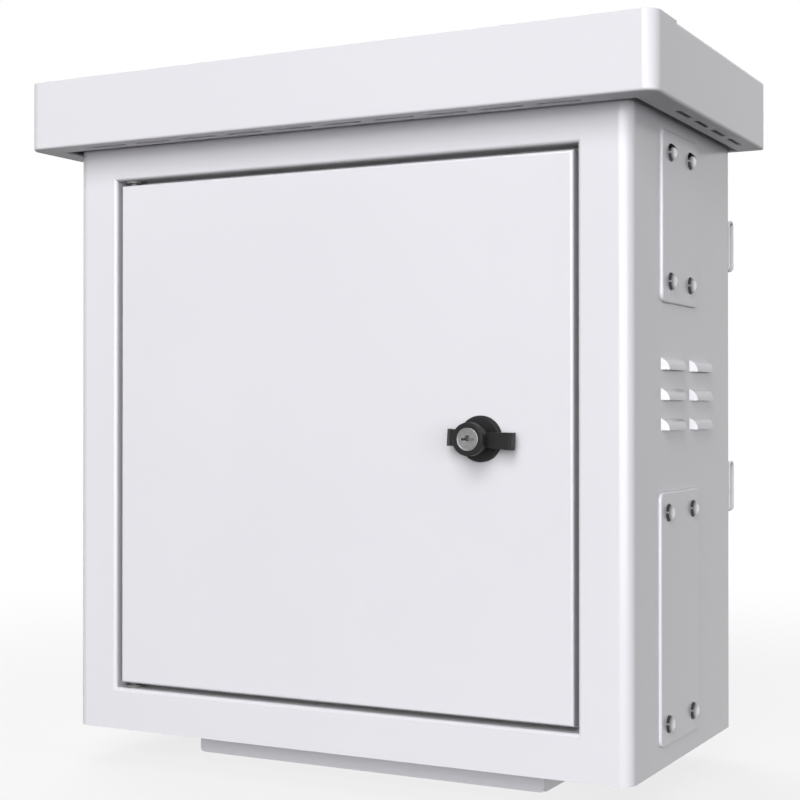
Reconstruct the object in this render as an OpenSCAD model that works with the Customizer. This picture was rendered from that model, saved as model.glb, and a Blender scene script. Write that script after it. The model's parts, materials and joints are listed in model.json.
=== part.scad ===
// Roadside utility cabinet: a folded steel body with an inset door, a drip roof and wall brackets.
// The origin lies under the middle of the cabinet, on the surface it stands on.
// X runs to the right as seen from the front, Y runs to the wall behind, Z runs up.

/* [Body] */
// Width of the body over its two sides
body_w = 600; // [500:10:800]
// Depth of the body from its front face to its rear edge
body_d = 300; // [260:10:450]
// Height of the body from its floor to its top panel
body_h = 600; // [540:10:900]
// Thickness of the painted sheet
sheet = 2; // [1.5:0.1:2.5]
// Outside radius of the two front bends
corner_r = 12.5; // [8:0.5:18]
// Outside radius of the two rear bends
rear_r = 3; // [2.6:0.1:5]
// Width of the flange turned in at each rear edge
rear_flange_w = 46; // [45:1:60]
// Frame left standing on each side of the door opening
frame_side = 49; // [42:1:70]
// Frame left standing above and below the door opening
frame_end = 42; // [38:1:70]
// Outside radius of the bend round the door opening
frame_bend_r = 4; // [3:0.5:5]
// Height of the flanges that hold the floor and the top panel
panel_flange_h = 18; // [12:1:24]

/* [Door] */
// Gap between the door and its opening
door_gap = 5; // [4:0.5:7]
// Distance of the door face behind the front of the body
door_recess = 2; // [1:0.5:4]
// Depth of the door tray
door_depth = 18; // [15:1:20]
// Outside radius of the bends round the door face
door_bend_r = 3; // [2.6:0.1:4]
// Width of the flange turned in at the back of the door
door_flange_w = 30; // [28:1:40]
// Width of the door seal
seal_w = 12; // [8:1:14]
// Thickness of the door seal when the door is shut
seal_t = 5.8; // [4:0.2:8]
// Distance of the seal from the pivot axis, towards the middle of the door
seal_offset = 4; // [3:0.5:6]
// Corner radius of the door seal
seal_corner_r = 16; // [14:1:24]
// Gap between the seal and the stop flange at rest
seal_gap = 0.2; // [0.1:0.05:0.5]

/* [Hinges] */
// Distance of the pivot axis from the left edge of the door
hinge_inset = 10; // [9:0.5:12]
// Diameter of the pivot pin in its bush
pin_d = 8; // [6.5:0.5:9]
// Diameter of the threaded tail of the pivot pin
pin_tail_d = 6; // [5:0.5:6.4]
// Length of the threaded tail inside the door
pin_tail_l = 12; // [10:1:16]
// Diameter of the collar that carries the door
pin_collar_d = 14; // [12:1:17]
// Outside diameter of the pivot bush
bush_d = 12; // [11.5:0.5:13]
// Diameter of the bush flange
bush_flange_d = 17; // [15:0.5:17.5]
// Thickness of the bush flange
bush_flange_t = 2.5; // [1.5:0.5:3]
// Length of the bush beyond the frame sheet
bush_reach = 7; // [5:1:12]
// Radial clearance of pins, spindle and key plug
run_clearance = 0.05; // [0.03:0.01:0.08]
// Axial play of the door and of the handle
end_play = 0.2; // [0.1:0.05:0.4]

/* [Lock] */
// Distance of the lock axis from the right edge of the door
lock_backset = 88; // [80:1:120]
// Distance of the lock axis below the middle of the door
lock_drop = 1.5; // [0:0.5:10]
// Diameter of the lock base on the door face
base_d = 42; // [38:1:50]
// Thickness of the lock base
base_t = 5; // [4:0.5:6]
// Diameter of the threaded lock tail through the door
tail_d = 22; // [18:1:24]
// Length of the lock tail behind the door face
tail_l = 15; // [12:1:16]
// Diameter of the turning barrel
barrel_d = 30; // [28:1:34]
// Length of the turning barrel in front of the lock base
barrel_l = 25.5; // [20:0.5:28]
// Length of the collar at the front of the barrel
collar_l = 9; // [6:0.5:12]
// Diameter of the barrel where it meets the lock base
hub_d = 22; // [20:0.5:26]
// Height of the handle wings at their tips
wing_h = 15.6; // [12:0.2:20]
// Height of the handle wings at the lock axis
wing_root_h = 12.6; // [10:0.2:16]
// Thickness of the handle wings
wing_t = 11; // [8:0.5:13]
// Distance of the wings in front of the lock base
wing_lift = 2; // [1:0.5:4]
// Reach of the long wing from the lock axis
wing_long = 36.5; // [32:0.5:50]
// Reach of the short wing from the lock axis
wing_short = 28; // [22:0.5:32]
// Bevel across the tip of the long wing
long_bevel = 1.6; // [0.4:0.2:3]
// Bevel across the tip of the short wing
short_bevel = 5; // [3:0.5:7]
// Angle by which the wings hang below level, at the long end
wing_tilt = 3; // [0:0.5:6]
// Diameter of the key plug
plug_d = 21.5; // [18:0.5:23]
// Length of the key plug
plug_l = 14; // [10:0.5:16]
// Width of the key slot
key_slot_w = 1.8; // [1.2:0.1:2.4]
// Length of the key slot
key_slot_l = 12.5; // [8:0.5:14]
// Diameter of the eye in the middle of the key slot
key_eye_d = 5; // [3:0.5:7]
// Diameter of the handle spindle
spindle_d = 12; // [11.5:0.5:14]
// Width across the squared end of the spindle
square_w = 8; // [6:0.5:8]
// Width of the cam
cam_w = 20; // [16:1:26]
// Thickness of the cam
cam_t = 3; // [2:0.5:4]
// Gap between the cam and the stop flange
cam_gap = 0.5; // [0.3:0.1:1.5]
// Hold of the cam behind the stop flange when it is turned
cam_hold = 14; // [10:1:20]

/* [Roof] */
// Overhang of the roof past each side
roof_side = 35; // [30:1:60]
// Overhang of the roof past the front
roof_front = 36.5; // [32:0.5:70]
// Overhang of the roof past the rear edge
roof_rear = 7; // [3:0.5:12]
// Height of the roof fascia
roof_h = 69; // [60:1:100]
// Distance of the lower edge of the roof below the top of the body
roof_drop = 10; // [6:1:20]
// Outside radius of the front corners of the roof
roof_corner_r = 13.5; // [8:0.5:20]
// Outside radius of the bends along the top sides of the roof
roof_edge_r = 4; // [3:0.5:6]
// Outside radius of the bends at the lower edge of the roof
roof_bend_r = 3; // [2.6:0.1:5]
// Width of the flange turned in at the lower edge of the roof
roof_lip_w = 26; // [20:1:28]
// Length of the air slots in the roof flange
slot_l = 42; // [24:1:46]
// Width of the air slots in the roof flange
slot_w = 5; // [3:0.5:8]
// Pitch of the air slots
slot_pitch = 54; // [50:1:70]
// Diameter of the sleeves under the roof
sleeve_d = 16; // [14:1:24]
// Distance of the roof studs from the sides of the body
roof_stud_inset = 60; // [50:1:90]

/* [Louvres] */
// Length of a louvre along the side
louvre_l = 60; // [40:1:70]
// Radius of the pressed hood
louvre_r = 12; // [9:0.5:13]
// Depth of the hood axis behind the side face
louvre_sink = 5; // [4:0.5:6]
// Angle by which the ends of a hood lean in from square
louvre_lean = 30; // [15:1:50]
// Number of louvres in a column
louvre_rows = 3; // [1:1:5]
// Pitch of the louvres up the side
louvre_rise = 27.5; // [22:0.5:34]
// Distance of the front column from the front of the body
louvre_front = 111; // [90:1:120]
// Pitch of the two columns
louvre_pitch = 85; // [75:1:90]
// Height of the middle louvre above the middle of the body
louvre_lift = 33.5; // [0:0.5:40]

/* [Side covers] */
// Distance of both covers from the front of the body, to their middle
cover_y = 131; // [110:1:140]
// Thickness of the covers
cover_t = 3; // [2.5:0.5:4]
// Corner radius of the covers
cover_r = 8; // [6:1:12]
// Radius of the rounded edge round the face of a cover
cover_edge_r = 2; // [1:0.2:2.4]
// Width of the upper cover
upper_w = 106; // [90:1:120]
// Height of the upper cover
upper_h = 158; // [120:1:170]
// Distance from the top of the body to the middle of the upper cover
upper_drop = 99; // [96:1:110]
// Screw spacing across the upper cover
upper_screw_y = 58; // [50:1:62]
// Screw spacing up the upper cover
upper_screw_z = 118; // [90:1:126]
// Width of the lower cover
lower_w = 116; // [100:1:126]
// Height of the lower cover
lower_h = 230; // [220:1:250]
// Distance from the floor to the middle of the lower cover
lower_lift = 135; // [130:1:145]
// Screw spacing across the lower cover
lower_screw_y = 73; // [60:1:84]
// Screw spacing up the lower cover
lower_screw_z = 192; // [170:1:196]
// Diameter of the domed screw heads
dome_d = 17; // [14:0.5:19]
// Height of the domed screw heads
dome_h = 5.5; // [4:0.5:7]

/* [Wall brackets] */
// Height of the lower pair of brackets above the floor, to their middle
bracket_low = 246; // [150:1:250]
// Distance from the top of the body to the middle of the upper pair of brackets
bracket_drop = 107; // [100:1:160]
// Width of a bracket
bracket_w = 44; // [42:1:46]
// Height of a bracket
bracket_h = 52; // [46:1:60]
// Thickness of a bracket
bracket_t = 2.5; // [2:0.5:3]
// Distance of the wall behind the body
stand_off = 14; // [12:1:24]
// Distance that a bracket stands past the side of the body
bracket_proud = 1; // [0:0.5:2]
// Radius of the bracket bends and corners
bracket_r = 5; // [4:0.5:6]
// Diameter of the wall bolt holes
wall_hole_d = 11; // [9:1:13]
// Diameter of the holes that let the wall bolts through the body
access_d = 20; // [18:1:22]

/* [Cable entry] */
// Width of the cable tray under the floor
tray_w = 384; // [340:2:440]
// Depth of the cable tray
tray_d = 168; // [140:2:190]
// Height of the cable tray
tray_h = 30; // [24:1:50]
// Radius of the lower corners of the tray flanges
tray_r = 4; // [2:0.5:8]
// Seam left open at the corners of the tray
tray_seam = 0.6; // [0.3:0.1:1]
// Number of cable grommets
grommet_n = 4; // [2:1:4]
// Diameter of the holes for the grommets
grommet_d = 40; // [25:1:44]
// Pitch of the grommets
grommet_pitch = 84; // [78:1:90]

/* [Mounting plate] */
// Distance of the mounting plate from the sides of the body
plate_side = 70; // [60:1:90]
// Distance of the mounting plate from the floor and the top of the body
plate_end = 60; // [50:1:90]
// Thickness of the mounting plate
plate_t = 2.5; // [2:0.5:3]
// Distance of the mounting plate in front of the back panel
plate_lift = 18; // [12:1:30]
// Distance of the plate studs from the edges of the plate
plate_stud_inset = 20; // [14:1:30]
// Corner radius of the mounting plate
plate_r = 6; // [3:1:12]

/* [Fasteners] */
// Diameter of the screws in the covers, the roof and the mounting plate
screw_d = 8; // [6:0.5:8]
// Width across the flats of their nuts
nut_af = 13; // [12:0.5:15]
// Height of their nuts
nut_h = 6.5; // [5:0.5:8]
// Diameter of the tray screws
tray_screw_d = 6; // [5:0.5:6]
// Width across the flats of the small nuts
small_af = 10; // [9:0.5:11]
// Height of the small nuts
small_h = 5; // [4:0.5:5]
// Length of thread that shows past a nut
thread_end = 3; // [1:0.5:5]
// Diameter of the bracket rivets
rivet_d = 5; // [4:0.5:6]
// Diameter of the rivet heads
rivet_head_d = 9; // [8:0.5:10]

/* [Hidden] */
$fn = 64;
// Distance that a cutting tool runs past the face it cuts
over = 1;

paint = [0.90, 0.90, 0.92];
lock_black = [0.13, 0.13, 0.14];
bush_grey = [0.45, 0.45, 0.46];
bright_steel = [0.75, 0.75, 0.77];
black_steel = [0.20, 0.20, 0.21];
zinc = [0.70, 0.72, 0.73];
rubber_black = [0.08, 0.08, 0.08];
brass = [0.62, 0.50, 0.32];

half_w = body_w / 2;
mid_h = body_h / 2;
back_y = body_d - 2 * sheet;
wall_y = body_d + stand_off;
// Middle of the whole depth, from the roof fascia to the wall
mid_y = (wall_y - roof_front) / 2;

open_w = body_w - 2 * frame_side;
open_h = body_h - 2 * frame_end;
door_w = open_w - 2 * door_gap;
door_h = open_h - 2 * door_gap;
door_back = door_recess + door_depth;
seal_inset = hinge_inset + seal_offset;
stop_y = door_back + seal_t + seal_gap;
stop_w = door_gap + seal_inset + seal_w + over;

hinge_x = hinge_inset - door_w / 2;
hinge_y = door_recess + door_depth / 2;
// The two pivots mirror each other about the middle of the door
top_of_door = mid_h + door_h / 2;
top_of_opening = mid_h + open_h / 2;

lock_x = door_w / 2 - lock_backset;
// Depths along the lock axis are measured from the door face
cam_z = stop_y + sheet + cam_gap - door_recess;
cam_reach = lock_backset + door_gap - stop_w + cam_hold;
cam_screw_d = 5;
cam_screw_depth = 12;
cam_head_d = 13;
cam_head_t = 4;
cam_head_edge = 1;

roof_w = body_w + 2 * roof_side;
roof_d = roof_front + body_d + roof_rear;
roof_z = body_h - roof_drop;
roof_under = roof_z + roof_h - sheet;
roof_stud_x = half_w - roof_stud_inset;
roof_stud_ys = [roof_stud_inset, body_d - roof_stud_inset];
front_slots = floor((roof_w - 2 * roof_lip_w - slot_l) / slot_pitch / 2) * 2;
side_slots = 4;
// The side slots stop short of the rear edge of the body by one slot
side_slot_y = body_d - slot_pitch;
// The side bend of the roof starts behind a relief cut
relief_y = 19;

// Share of the sheet's thickness that pressing leaves in a hood
hood_share = 0.75;
hood_t = sheet * hood_share;

upper_z = body_h - upper_drop;
// Sheet left between the cover screws and the opening behind the cover
cut_margin = 15;

bracket_x = half_w + bracket_proud - bracket_w / 2;
bracket_high = body_h - bracket_drop;
// Rivets sit above and below the access hole, with a strip of metal between
rivet_strip = 1.5;
rivet_z = (access_d + rivet_head_d) / 2 + rivet_strip;
rivet_head_t = 2;

tray_y = body_d / 2;
tray_screw_inset = 12;
tray_screw_x = tray_w / 2 - tray_screw_inset;
tray_screw_y = tray_d / 2 - tray_screw_inset;
grommet_lip = 5;
grommet_lip_t = 3;
membrane_t = 1.5;

plate_w = body_w - 2 * plate_side;
plate_h = body_h - 2 * plate_end;
plate_stud_x = plate_w / 2 - plate_stud_inset;
plate_stud_z = plate_h / 2 - plate_stud_inset;
plate_y = back_y - plate_lift - plate_t;

earth_x = half_w - plate_side;
earth_l = 22;
door_earth_l = 12;

// Moves the body, drawn with its front on y = 0 and its floor on z = 0, to the cabinet's own origin
module cabinet_frame() {
    translate([0, -mid_y, tray_h])
        children();
}

// Turns a vertical shape so that its axis points to the wall
module along_y() {
    rotate([-90, 0, 0])
        children();
}

// Raises an outline drawn in X and Z into a plate that grows towards the wall
module upright(t) {
    translate([0, t, 0])
        rotate([90, 0, 0])
            linear_extrude(t)
                children();
}

// Raises an outline drawn in Y and Z into a plate that grows to the right
module sideways(t) {
    rotate([90, 0, 90])
        linear_extrude(t)
            children();
}

// Repeats a shape at its mirror image about the middle of the door
module both_ends() {
    children();
    lower_end()
        children();
}

// Mirrors a shape about the middle of the door
module lower_end() {
    translate([0, 0, body_h])
        mirror([0, 0, 1])
            children();
}

// Rectangle with four round corners, centred
module round_rect(w, h, r) {
    square([w - 2 * r, h], center = true);
    square([w, h - 2 * r], center = true);
    for (x = [-1, 1], y = [-1, 1])
        translate([x * (w / 2 - r), y * (h / 2 - r)])
            circle(r);
}

// Slot with round ends, centred
module slot(l, w) {
    square([l - w, w], center = true);
    for (x = [-1, 1])
        translate([x * (l - w) / 2, 0])
            circle(d = w);
}

// Section of a box with its front edge on y = 0: round front corners, round or sharp rear corners
module box_section(w, d, front_r, back_r) {
    translate([-w / 2, front_r])
        square([w, d - front_r - back_r]);
    section_edge(w, front_r);
    if (back_r > 0)
        translate([0, d])
            mirror([0, 1])
                section_edge(w, back_r);
}

// Front edge of a box section: two quarter rounds and the strip between them
module section_edge(w, r) {
    translate([r - w / 2, 0])
        square([w - 2 * r, r]);
    for (x = [-1, 1])
        translate([x * (w / 2 - r), r])
            intersection() {
                circle(r);
                translate([-r, -r])
                    square([2 * r, r]);
            }
}

// Section of an opening whose front edges are rounded outwards
module mouth_section(w, r, y0, y1, lead) {
    difference() {
        translate([-w / 2 - r, y0 - lead])
            square([w + 2 * r, r + lead]);
        for (x = [-1, 1])
            translate([x * (w / 2 + r), y0 + r])
                circle(r);
    }
    translate([-w / 2, y0])
        square([w, y1 - y0]);
}

// Solid that has one section across its width and the same kind of section up its height
module mitred(w, h) {
    intersection() {
        translate([0, 0, mid_h - h / 2])
            linear_extrude(h)
                children(0);
        translate([-w / 2, 0, mid_h])
            rotate([0, 90, 0])
                linear_extrude(w)
                    children(1);
    }
}

// Space of a door opening with rounded front edges
module mouth(w, h, r, y0, y1, lead) {
    mitred(w + 2 * r + 2 * over, h + 2 * r + 2 * over) {
        mouth_section(w, r, y0, y1, lead);
        mouth_section(h, r, y0, y1, lead);
    }
}

// Block with rounded front edges, its front on y = 0
module dished(w, h, d, r) {
    mitred(w, h) {
        box_section(w, d, r, 0);
        box_section(h, d, r, 0);
    }
}

// Section of what a round edge takes off a square one, whose corner is the origin
module edge_waste(r) {
    difference() {
        translate([-r, -r])
            square(r + over);
        translate([-r, -r])
            circle(r);
    }
}

// Cutter that rounds the upper edge of a face on x = 0, from y = 0 to y = -l
module edge_cut(l, r) {
    rotate([90, 0, 0])
        linear_extrude(l)
            edge_waste(r);
}

// Cutter that rounds the upper edge of a quarter round about the origin
module corner_cut(corner, r) {
    rotate_extrude(angle = 90)
        translate([corner, 0])
            edge_waste(r);
}

// Plate on z = 0 with round corners and a rounded edge round its upper face
module soft_plate(w, h, t, corner, edge) {
    difference() {
        linear_extrude(t)
            round_rect(w, h, corner);
        for (turn = [0:3]) {
            across = turn % 2 == 0 ? w : h;
            along = turn % 2 == 0 ? h : w;
            rotate(90 * turn)
                translate([across / 2, along / 2 - corner, t]) {
                    edge_cut(along - 2 * corner, edge);
                    translate([-corner, 0, 0])
                        corner_cut(corner, edge);
                }
        }
    }
}

module hex_nut(af, h, bore) {
    difference() {
        cylinder(d = af / cos(30), h = h, $fn = 6);
        translate([0, 0, -over])
            cylinder(d = bore, h = h + 2 * over);
    }
}

// Copies a shape to the four corners of a rectangle
module at_corners(dx, dy) {
    for (x = [-1, 1], y = [-1, 1])
        translate([x * dx, y * dy, 0])
            children();
}

// Places a shape on the right side of the body, its X along the depth and its Z out of the side
module on_side(y, z) {
    translate([half_w, y, z])
        rotate([90, 0, 90])
            children();
}

// Body

module wrap_section() {
    difference() {
        box_section(body_w, body_d, corner_r, rear_r);
        translate([0, sheet])
            box_section(body_w - 2 * sheet, body_d - 2 * sheet, corner_r - sheet, rear_r - sheet);
        translate([rear_flange_w - half_w, body_d - 1.5 * sheet])
            square([body_w - 2 * rear_flange_w, 2 * sheet]);
    }
}

// Pressed hood, or the space under it, with its lower edge on z = 0 and its ends leaning in
module hood(r, depth) {
    half_l = louvre_l / 2 - (louvre_r - r) / cos(louvre_lean);
    lean = tan(louvre_lean);
    intersection() {
        translate([-louvre_sink, -louvre_l, 0])
            along_y()
                cylinder(r = r, h = 2 * louvre_l);
        linear_extrude(louvre_r)
            polygon([
                [-depth, -half_l - depth * lean],
                [louvre_r, louvre_r * lean - half_l],
                [louvre_r, half_l - louvre_r * lean],
                [-depth, half_l + depth * lean]
            ]);
    }
}

// Copies a shape to every louvre on both sides
module at_louvres() {
    for (side = [0, 1], column = [0, 1], row = [0:louvre_rows - 1])
        mirror([side, 0, 0])
            translate([
                half_w,
                louvre_front + column * louvre_pitch,
                mid_h + louvre_lift + (row - (louvre_rows - 1) / 2) * louvre_rise
            ])
                children();
}

// Copies a shape to the four screws of a cover
module at_cover_screws(z, dy, dz) {
    on_side(cover_y, z)
        at_corners(dy / 2, dz / 2)
            children();
}

// Copies a shape to the middle of each bracket, on the rear face of the body
module at_brackets() {
    for (x = [-1, 1], z = [bracket_low, bracket_high])
        translate([x * bracket_x, body_d, z])
            children();
}

// Holes behind a bracket for its wall bolt and its rivets
module bracket_holes(depth) {
    translate([0, -depth, 0])
        along_y() {
            cylinder(d = access_d, h = depth + over);
            for (end = [-1, 1])
                translate([0, end * rivet_z, 0])
                    cylinder(d = rivet_d, h = depth + over);
        }
}

// Opening behind a cover, inside its screws, and the screw holes round it
module side_opening(z, dy, dz) {
    on_side(cover_y, z)
        translate([0, 0, -2 * sheet])
            linear_extrude(3 * sheet)
                round_rect(dy - cut_margin, dz - 2 * cut_margin, cover_r);
    at_cover_screws(z, dy, dz)
        translate([0, 0, -2 * sheet])
            cylinder(d = screw_d, h = 3 * sheet);
}

module body_wrap() {
    color(paint)
        cabinet_frame()
            difference() {
                union() {
                    linear_extrude(body_h)
                        wrap_section();
                    mouth(open_w + 2 * sheet, open_h + 2 * sheet, frame_bend_r - sheet,
                        sheet, stop_y + sheet, sheet / 2);
                    at_louvres()
                        hood(louvre_r, sheet / 2);
                }
                mouth(open_w, open_h, frame_bend_r, 0, stop_y, over);
                translate([stop_w - open_w / 2, 0, mid_h - open_h / 2 + stop_w])
                    cube([open_w - 2 * stop_w, stop_y + sheet + over, open_h - 2 * stop_w]);
                at_louvres()
                    hood(louvre_r - hood_t, louvre_r);
                side_opening(upper_z, upper_screw_y, upper_screw_z);
                side_opening(lower_lift, lower_screw_y, lower_screw_z);
                at_brackets()
                    bracket_holes(sheet + over);
                both_ends()
                    translate([hinge_x, hinge_y, top_of_opening - over])
                        cylinder(d = bush_d, h = sheet + 2 * over);
            }
}

module back_panel() {
    color(paint)
        cabinet_frame()
            difference() {
                translate([rear_r - half_w, back_y, 0])
                    cube([body_w - 2 * rear_r, sheet, body_h]);
                at_brackets()
                    bracket_holes(2 * sheet + over);
            }
}

// Flat panel that closes the body, with a flange down each side, lying on z = 0
module end_panel() {
    linear_extrude(sheet)
        translate([0, sheet])
            box_section(body_w - 2 * sheet, back_y - sheet, corner_r - sheet, 0);
    for (x = [-1, 1])
        translate([x * (half_w - 1.5 * sheet) - sheet / 2, corner_r, 0])
            cube([sheet, back_y - corner_r - sheet, panel_flange_h]);
}

module top_panel() {
    vent_rows = 3;
    vent_columns = 6;
    vent_pitch_y = 3 * slot_w;
    color(paint)
        cabinet_frame()
            difference() {
                lower_end()
                    end_panel();
                for (column = [0:vent_columns - 1], row = [0:vent_rows - 1])
                    translate([
                        (column - (vent_columns - 1) / 2) * slot_pitch,
                        body_d / 2 + (row - (vent_rows - 1) / 2) * vent_pitch_y,
                        body_h - 2 * sheet
                    ])
                        linear_extrude(3 * sheet)
                            slot(slot_l, slot_w);
                at_roof_studs()
                    translate([0, 0, body_h - 2 * sheet])
                        cylinder(d = screw_d, h = 3 * sheet);
            }
}

module floor_panel() {
    color(paint)
        cabinet_frame()
            difference() {
                end_panel();
                at_grommets()
                    translate([0, 0, -sheet])
                        cylinder(d = grommet_d, h = 3 * sheet);
                at_tray_screws()
                    translate([0, 0, -sheet])
                        cylinder(d = tray_screw_d, h = 3 * sheet);
            }
}

// Roof

module at_roof_studs() {
    for (x = [-1, 1], y = roof_stud_ys)
        translate([x * roof_stud_x, y, 0])
            children();
}

// Cutter that rounds the top edge along the right side of the roof
module roof_side_round() {
    translate([roof_w / 2 - roof_edge_r, relief_y, roof_z + roof_h - roof_edge_r])
        difference() {
            cube([roof_edge_r + over, roof_d, roof_edge_r + over]);
            translate([0, -over, 0])
                along_y()
                    cylinder(r = roof_edge_r, h = roof_d + 2 * over);
        }
}

module roof_slots() {
    for (i = [0:front_slots - 1])
        translate([(i - (front_slots - 1) / 2) * slot_pitch, (roof_lip_w + sheet) / 2 - roof_front])
            slot(slot_l, slot_w);
    for (x = [-1, 1], i = [0:side_slots - 1])
        translate([x * (roof_w - roof_lip_w - sheet) / 2, side_slot_y - i * slot_pitch])
            rotate(90)
                slot(slot_l, slot_w);
}

// Block that the roof fills, or the space left inside it, with its lower edge rounded
module roof_block(inset) {
    w = roof_w - 2 * inset;
    d = roof_d - 2 * inset;
    corner = roof_corner_r - inset;
    edge = roof_bend_r - inset;
    translate([0, inset - roof_front, roof_z + inset])
        difference() {
            linear_extrude(roof_h - 2 * inset)
                box_section(w, d, corner, rear_r - inset);
            mirror([0, 0, 1]) {
                rotate(-90)
                    translate([0, w / 2 - corner, 0])
                        edge_cut(w - 2 * corner, edge);
                for (side = [0, 1])
                    mirror([side, 0, 0]) {
                        translate([w / 2 - corner, corner, 0])
                            rotate(-90)
                                corner_cut(corner, edge);
                        translate([w / 2, d + over, 0])
                            edge_cut(d + over - corner, edge);
                    }
            }
        }
}

module roof_cap() {
    color(paint)
        cabinet_frame()
            difference() {
                roof_block(0);
                roof_block(sheet);
                translate([roof_lip_w - roof_w / 2, roof_lip_w - roof_front, roof_z - over])
                    cube([roof_w - 2 * roof_lip_w, roof_d - roof_lip_w - rear_r, 2 * sheet]);
                translate([0, 0, roof_z - over])
                    linear_extrude(2 * sheet)
                        roof_slots();
                for (side = [0, 1])
                    mirror([side, 0, 0])
                        roof_side_round();
            }
}

module roof_sleeves() {
    color(zinc)
        cabinet_frame()
            at_roof_studs()
                translate([0, 0, body_h])
                    difference() {
                        cylinder(d = sleeve_d, h = roof_under - body_h);
                        translate([0, 0, -over])
                            cylinder(d = screw_d, h = roof_under - body_h + 2 * over);
                    }
}

module roof_studs() {
    stud_bottom = body_h - sheet - nut_h - thread_end;
    color(zinc)
        cabinet_frame()
            at_roof_studs()
                translate([0, 0, stud_bottom])
                    cylinder(d = screw_d, h = roof_under - stud_bottom);
}

module roof_nuts() {
    color(zinc)
        cabinet_frame()
            at_roof_studs()
                translate([0, 0, body_h - sheet - nut_h])
                    hex_nut(nut_af, nut_h, screw_d);
}

// Cable entry

module at_grommets() {
    for (i = [0:grommet_n - 1])
        translate([(i - (grommet_n - 1) / 2) * grommet_pitch, tray_y, 0])
            children();
}

module at_tray_screws() {
    for (x = [-1, 0, 1], y = [-1, 1])
        translate([x * tray_screw_x, tray_y + y * tray_screw_y, 0])
            children();
}

// Outline of a tray flange that hangs from z = 0, with its lower corners rounded
module tray_flange(w) {
    translate([0, -tray_h / 2])
        round_rect(w, tray_h, tray_r);
    translate([-w / 2, -tray_h / 2])
        square([w, tray_h / 2]);
}

module gland_tray() {
    inner_d = tray_d - 2 * sheet - 2 * tray_seam;
    color(paint)
        cabinet_frame()
            difference() {
                union() {
                    translate([-tray_w / 2, tray_y - tray_d / 2, -sheet])
                        cube([tray_w, tray_d, sheet]);
                    for (y = [-tray_d / 2, tray_d / 2 - sheet])
                        translate([0, tray_y + y, 0])
                            upright(sheet)
                                tray_flange(tray_w);
                    for (x = [-tray_w / 2, tray_w / 2 - sheet])
                        translate([x, tray_y, 0])
                            sideways(sheet)
                                tray_flange(inner_d);
                }
                at_grommets()
                    translate([0, 0, -2 * sheet])
                        cylinder(d = grommet_d, h = 3 * sheet);
                at_tray_screws()
                    translate([0, 0, -2 * sheet])
                        cylinder(d = tray_screw_d, h = 3 * sheet);
            }
}

module cable_grommets() {
    lip_d = grommet_d + 2 * grommet_lip;
    color(rubber_black)
        cabinet_frame()
            at_grommets()
                difference() {
                    union() {
                        translate([0, 0, -sheet])
                            cylinder(d = grommet_d, h = 2 * sheet);
                        translate([0, 0, sheet])
                            cylinder(d1 = lip_d, d2 = lip_d - grommet_lip_t, h = grommet_lip_t);
                        translate([0, 0, -sheet - grommet_lip_t])
                            cylinder(d1 = lip_d - grommet_lip_t, d2 = lip_d, h = grommet_lip_t);
                    }
                    translate([0, 0, membrane_t - sheet - grommet_lip_t])
                        cylinder(d = grommet_d - 2 * grommet_lip_t, h = tray_h);
                }
}

module tray_screws() {
    head_h = 4;
    color(zinc)
        cabinet_frame()
            at_tray_screws() {
                translate([0, 0, -sheet - head_h])
                    cylinder(d = small_af / cos(30), h = head_h, $fn = 6);
                translate([0, 0, -sheet])
                    cylinder(d = tray_screw_d, h = 2 * sheet + small_h + thread_end);
            }
}

module tray_nuts() {
    color(zinc)
        cabinet_frame()
            at_tray_screws()
                translate([0, 0, sheet])
                    hex_nut(small_af, small_h, tray_screw_d);
}

// Side covers

module side_cover(z, w, h, dy, dz) {
    color(paint)
        cabinet_frame()
            difference() {
                on_side(cover_y, z)
                    soft_plate(w, h, cover_t, cover_r, cover_edge_r);
                at_cover_screws(z, dy, dz)
                    translate([0, 0, -over])
                        cylinder(d = screw_d, h = cover_t + 2 * over);
            }
}

// Domed screw that starts on the face of a cover
module cover_screw() {
    dome_r = (dome_d * dome_d / 4 + dome_h * dome_h) / (2 * dome_h);
    shank = cover_t + sheet + nut_h + thread_end;
    intersection() {
        translate([0, 0, cover_t + dome_h - dome_r])
            sphere(dome_r);
        translate([0, 0, cover_t])
            cylinder(d = dome_d, h = dome_h + over);
    }
    translate([0, 0, cover_t - shank])
        cylinder(d = screw_d, h = shank);
}

module cover_screws(z, dy, dz) {
    color(bright_steel)
        cabinet_frame()
            at_cover_screws(z, dy, dz)
                cover_screw();
}

module cover_nuts(z, dy, dz) {
    color(zinc)
        cabinet_frame()
            at_cover_screws(z, dy, dz)
                translate([0, 0, -sheet - nut_h])
                    hex_nut(nut_af, nut_h, screw_d);
}

module side_cover_upper() {
    side_cover(upper_z, upper_w, upper_h, upper_screw_y, upper_screw_z);
}

module side_cover_lower() {
    side_cover(lower_lift, lower_w, lower_h, lower_screw_y, lower_screw_z);
}

module cover_screws_upper() {
    cover_screws(upper_z, upper_screw_y, upper_screw_z);
}

module cover_screws_lower() {
    cover_screws(lower_lift, lower_screw_y, lower_screw_z);
}

module cover_nuts_upper() {
    cover_nuts(upper_z, upper_screw_y, upper_screw_z);
}

module cover_nuts_lower() {
    cover_nuts(lower_lift, lower_screw_y, lower_screw_z);
}

// Wall brackets

// Strip folded down at both ends, seen from the right: it hangs from its top edge on y = 0
module bracket_fold() {
    difference() {
        box_fold(stand_off, bracket_r);
        translate([bracket_t, -bracket_t])
            box_fold(stand_off - 2 * bracket_t, bracket_r - bracket_t);
    }
}

// Outline of the folded strip with its upper corners rounded, filled in
module box_fold(w, r) {
    translate([0, -bracket_h])
        square([w, bracket_h - r]);
    translate([r, -r])
        square([w - 2 * r, r]);
    for (x = [r, w - r])
        translate([x, -r])
            circle(r);
}

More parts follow.
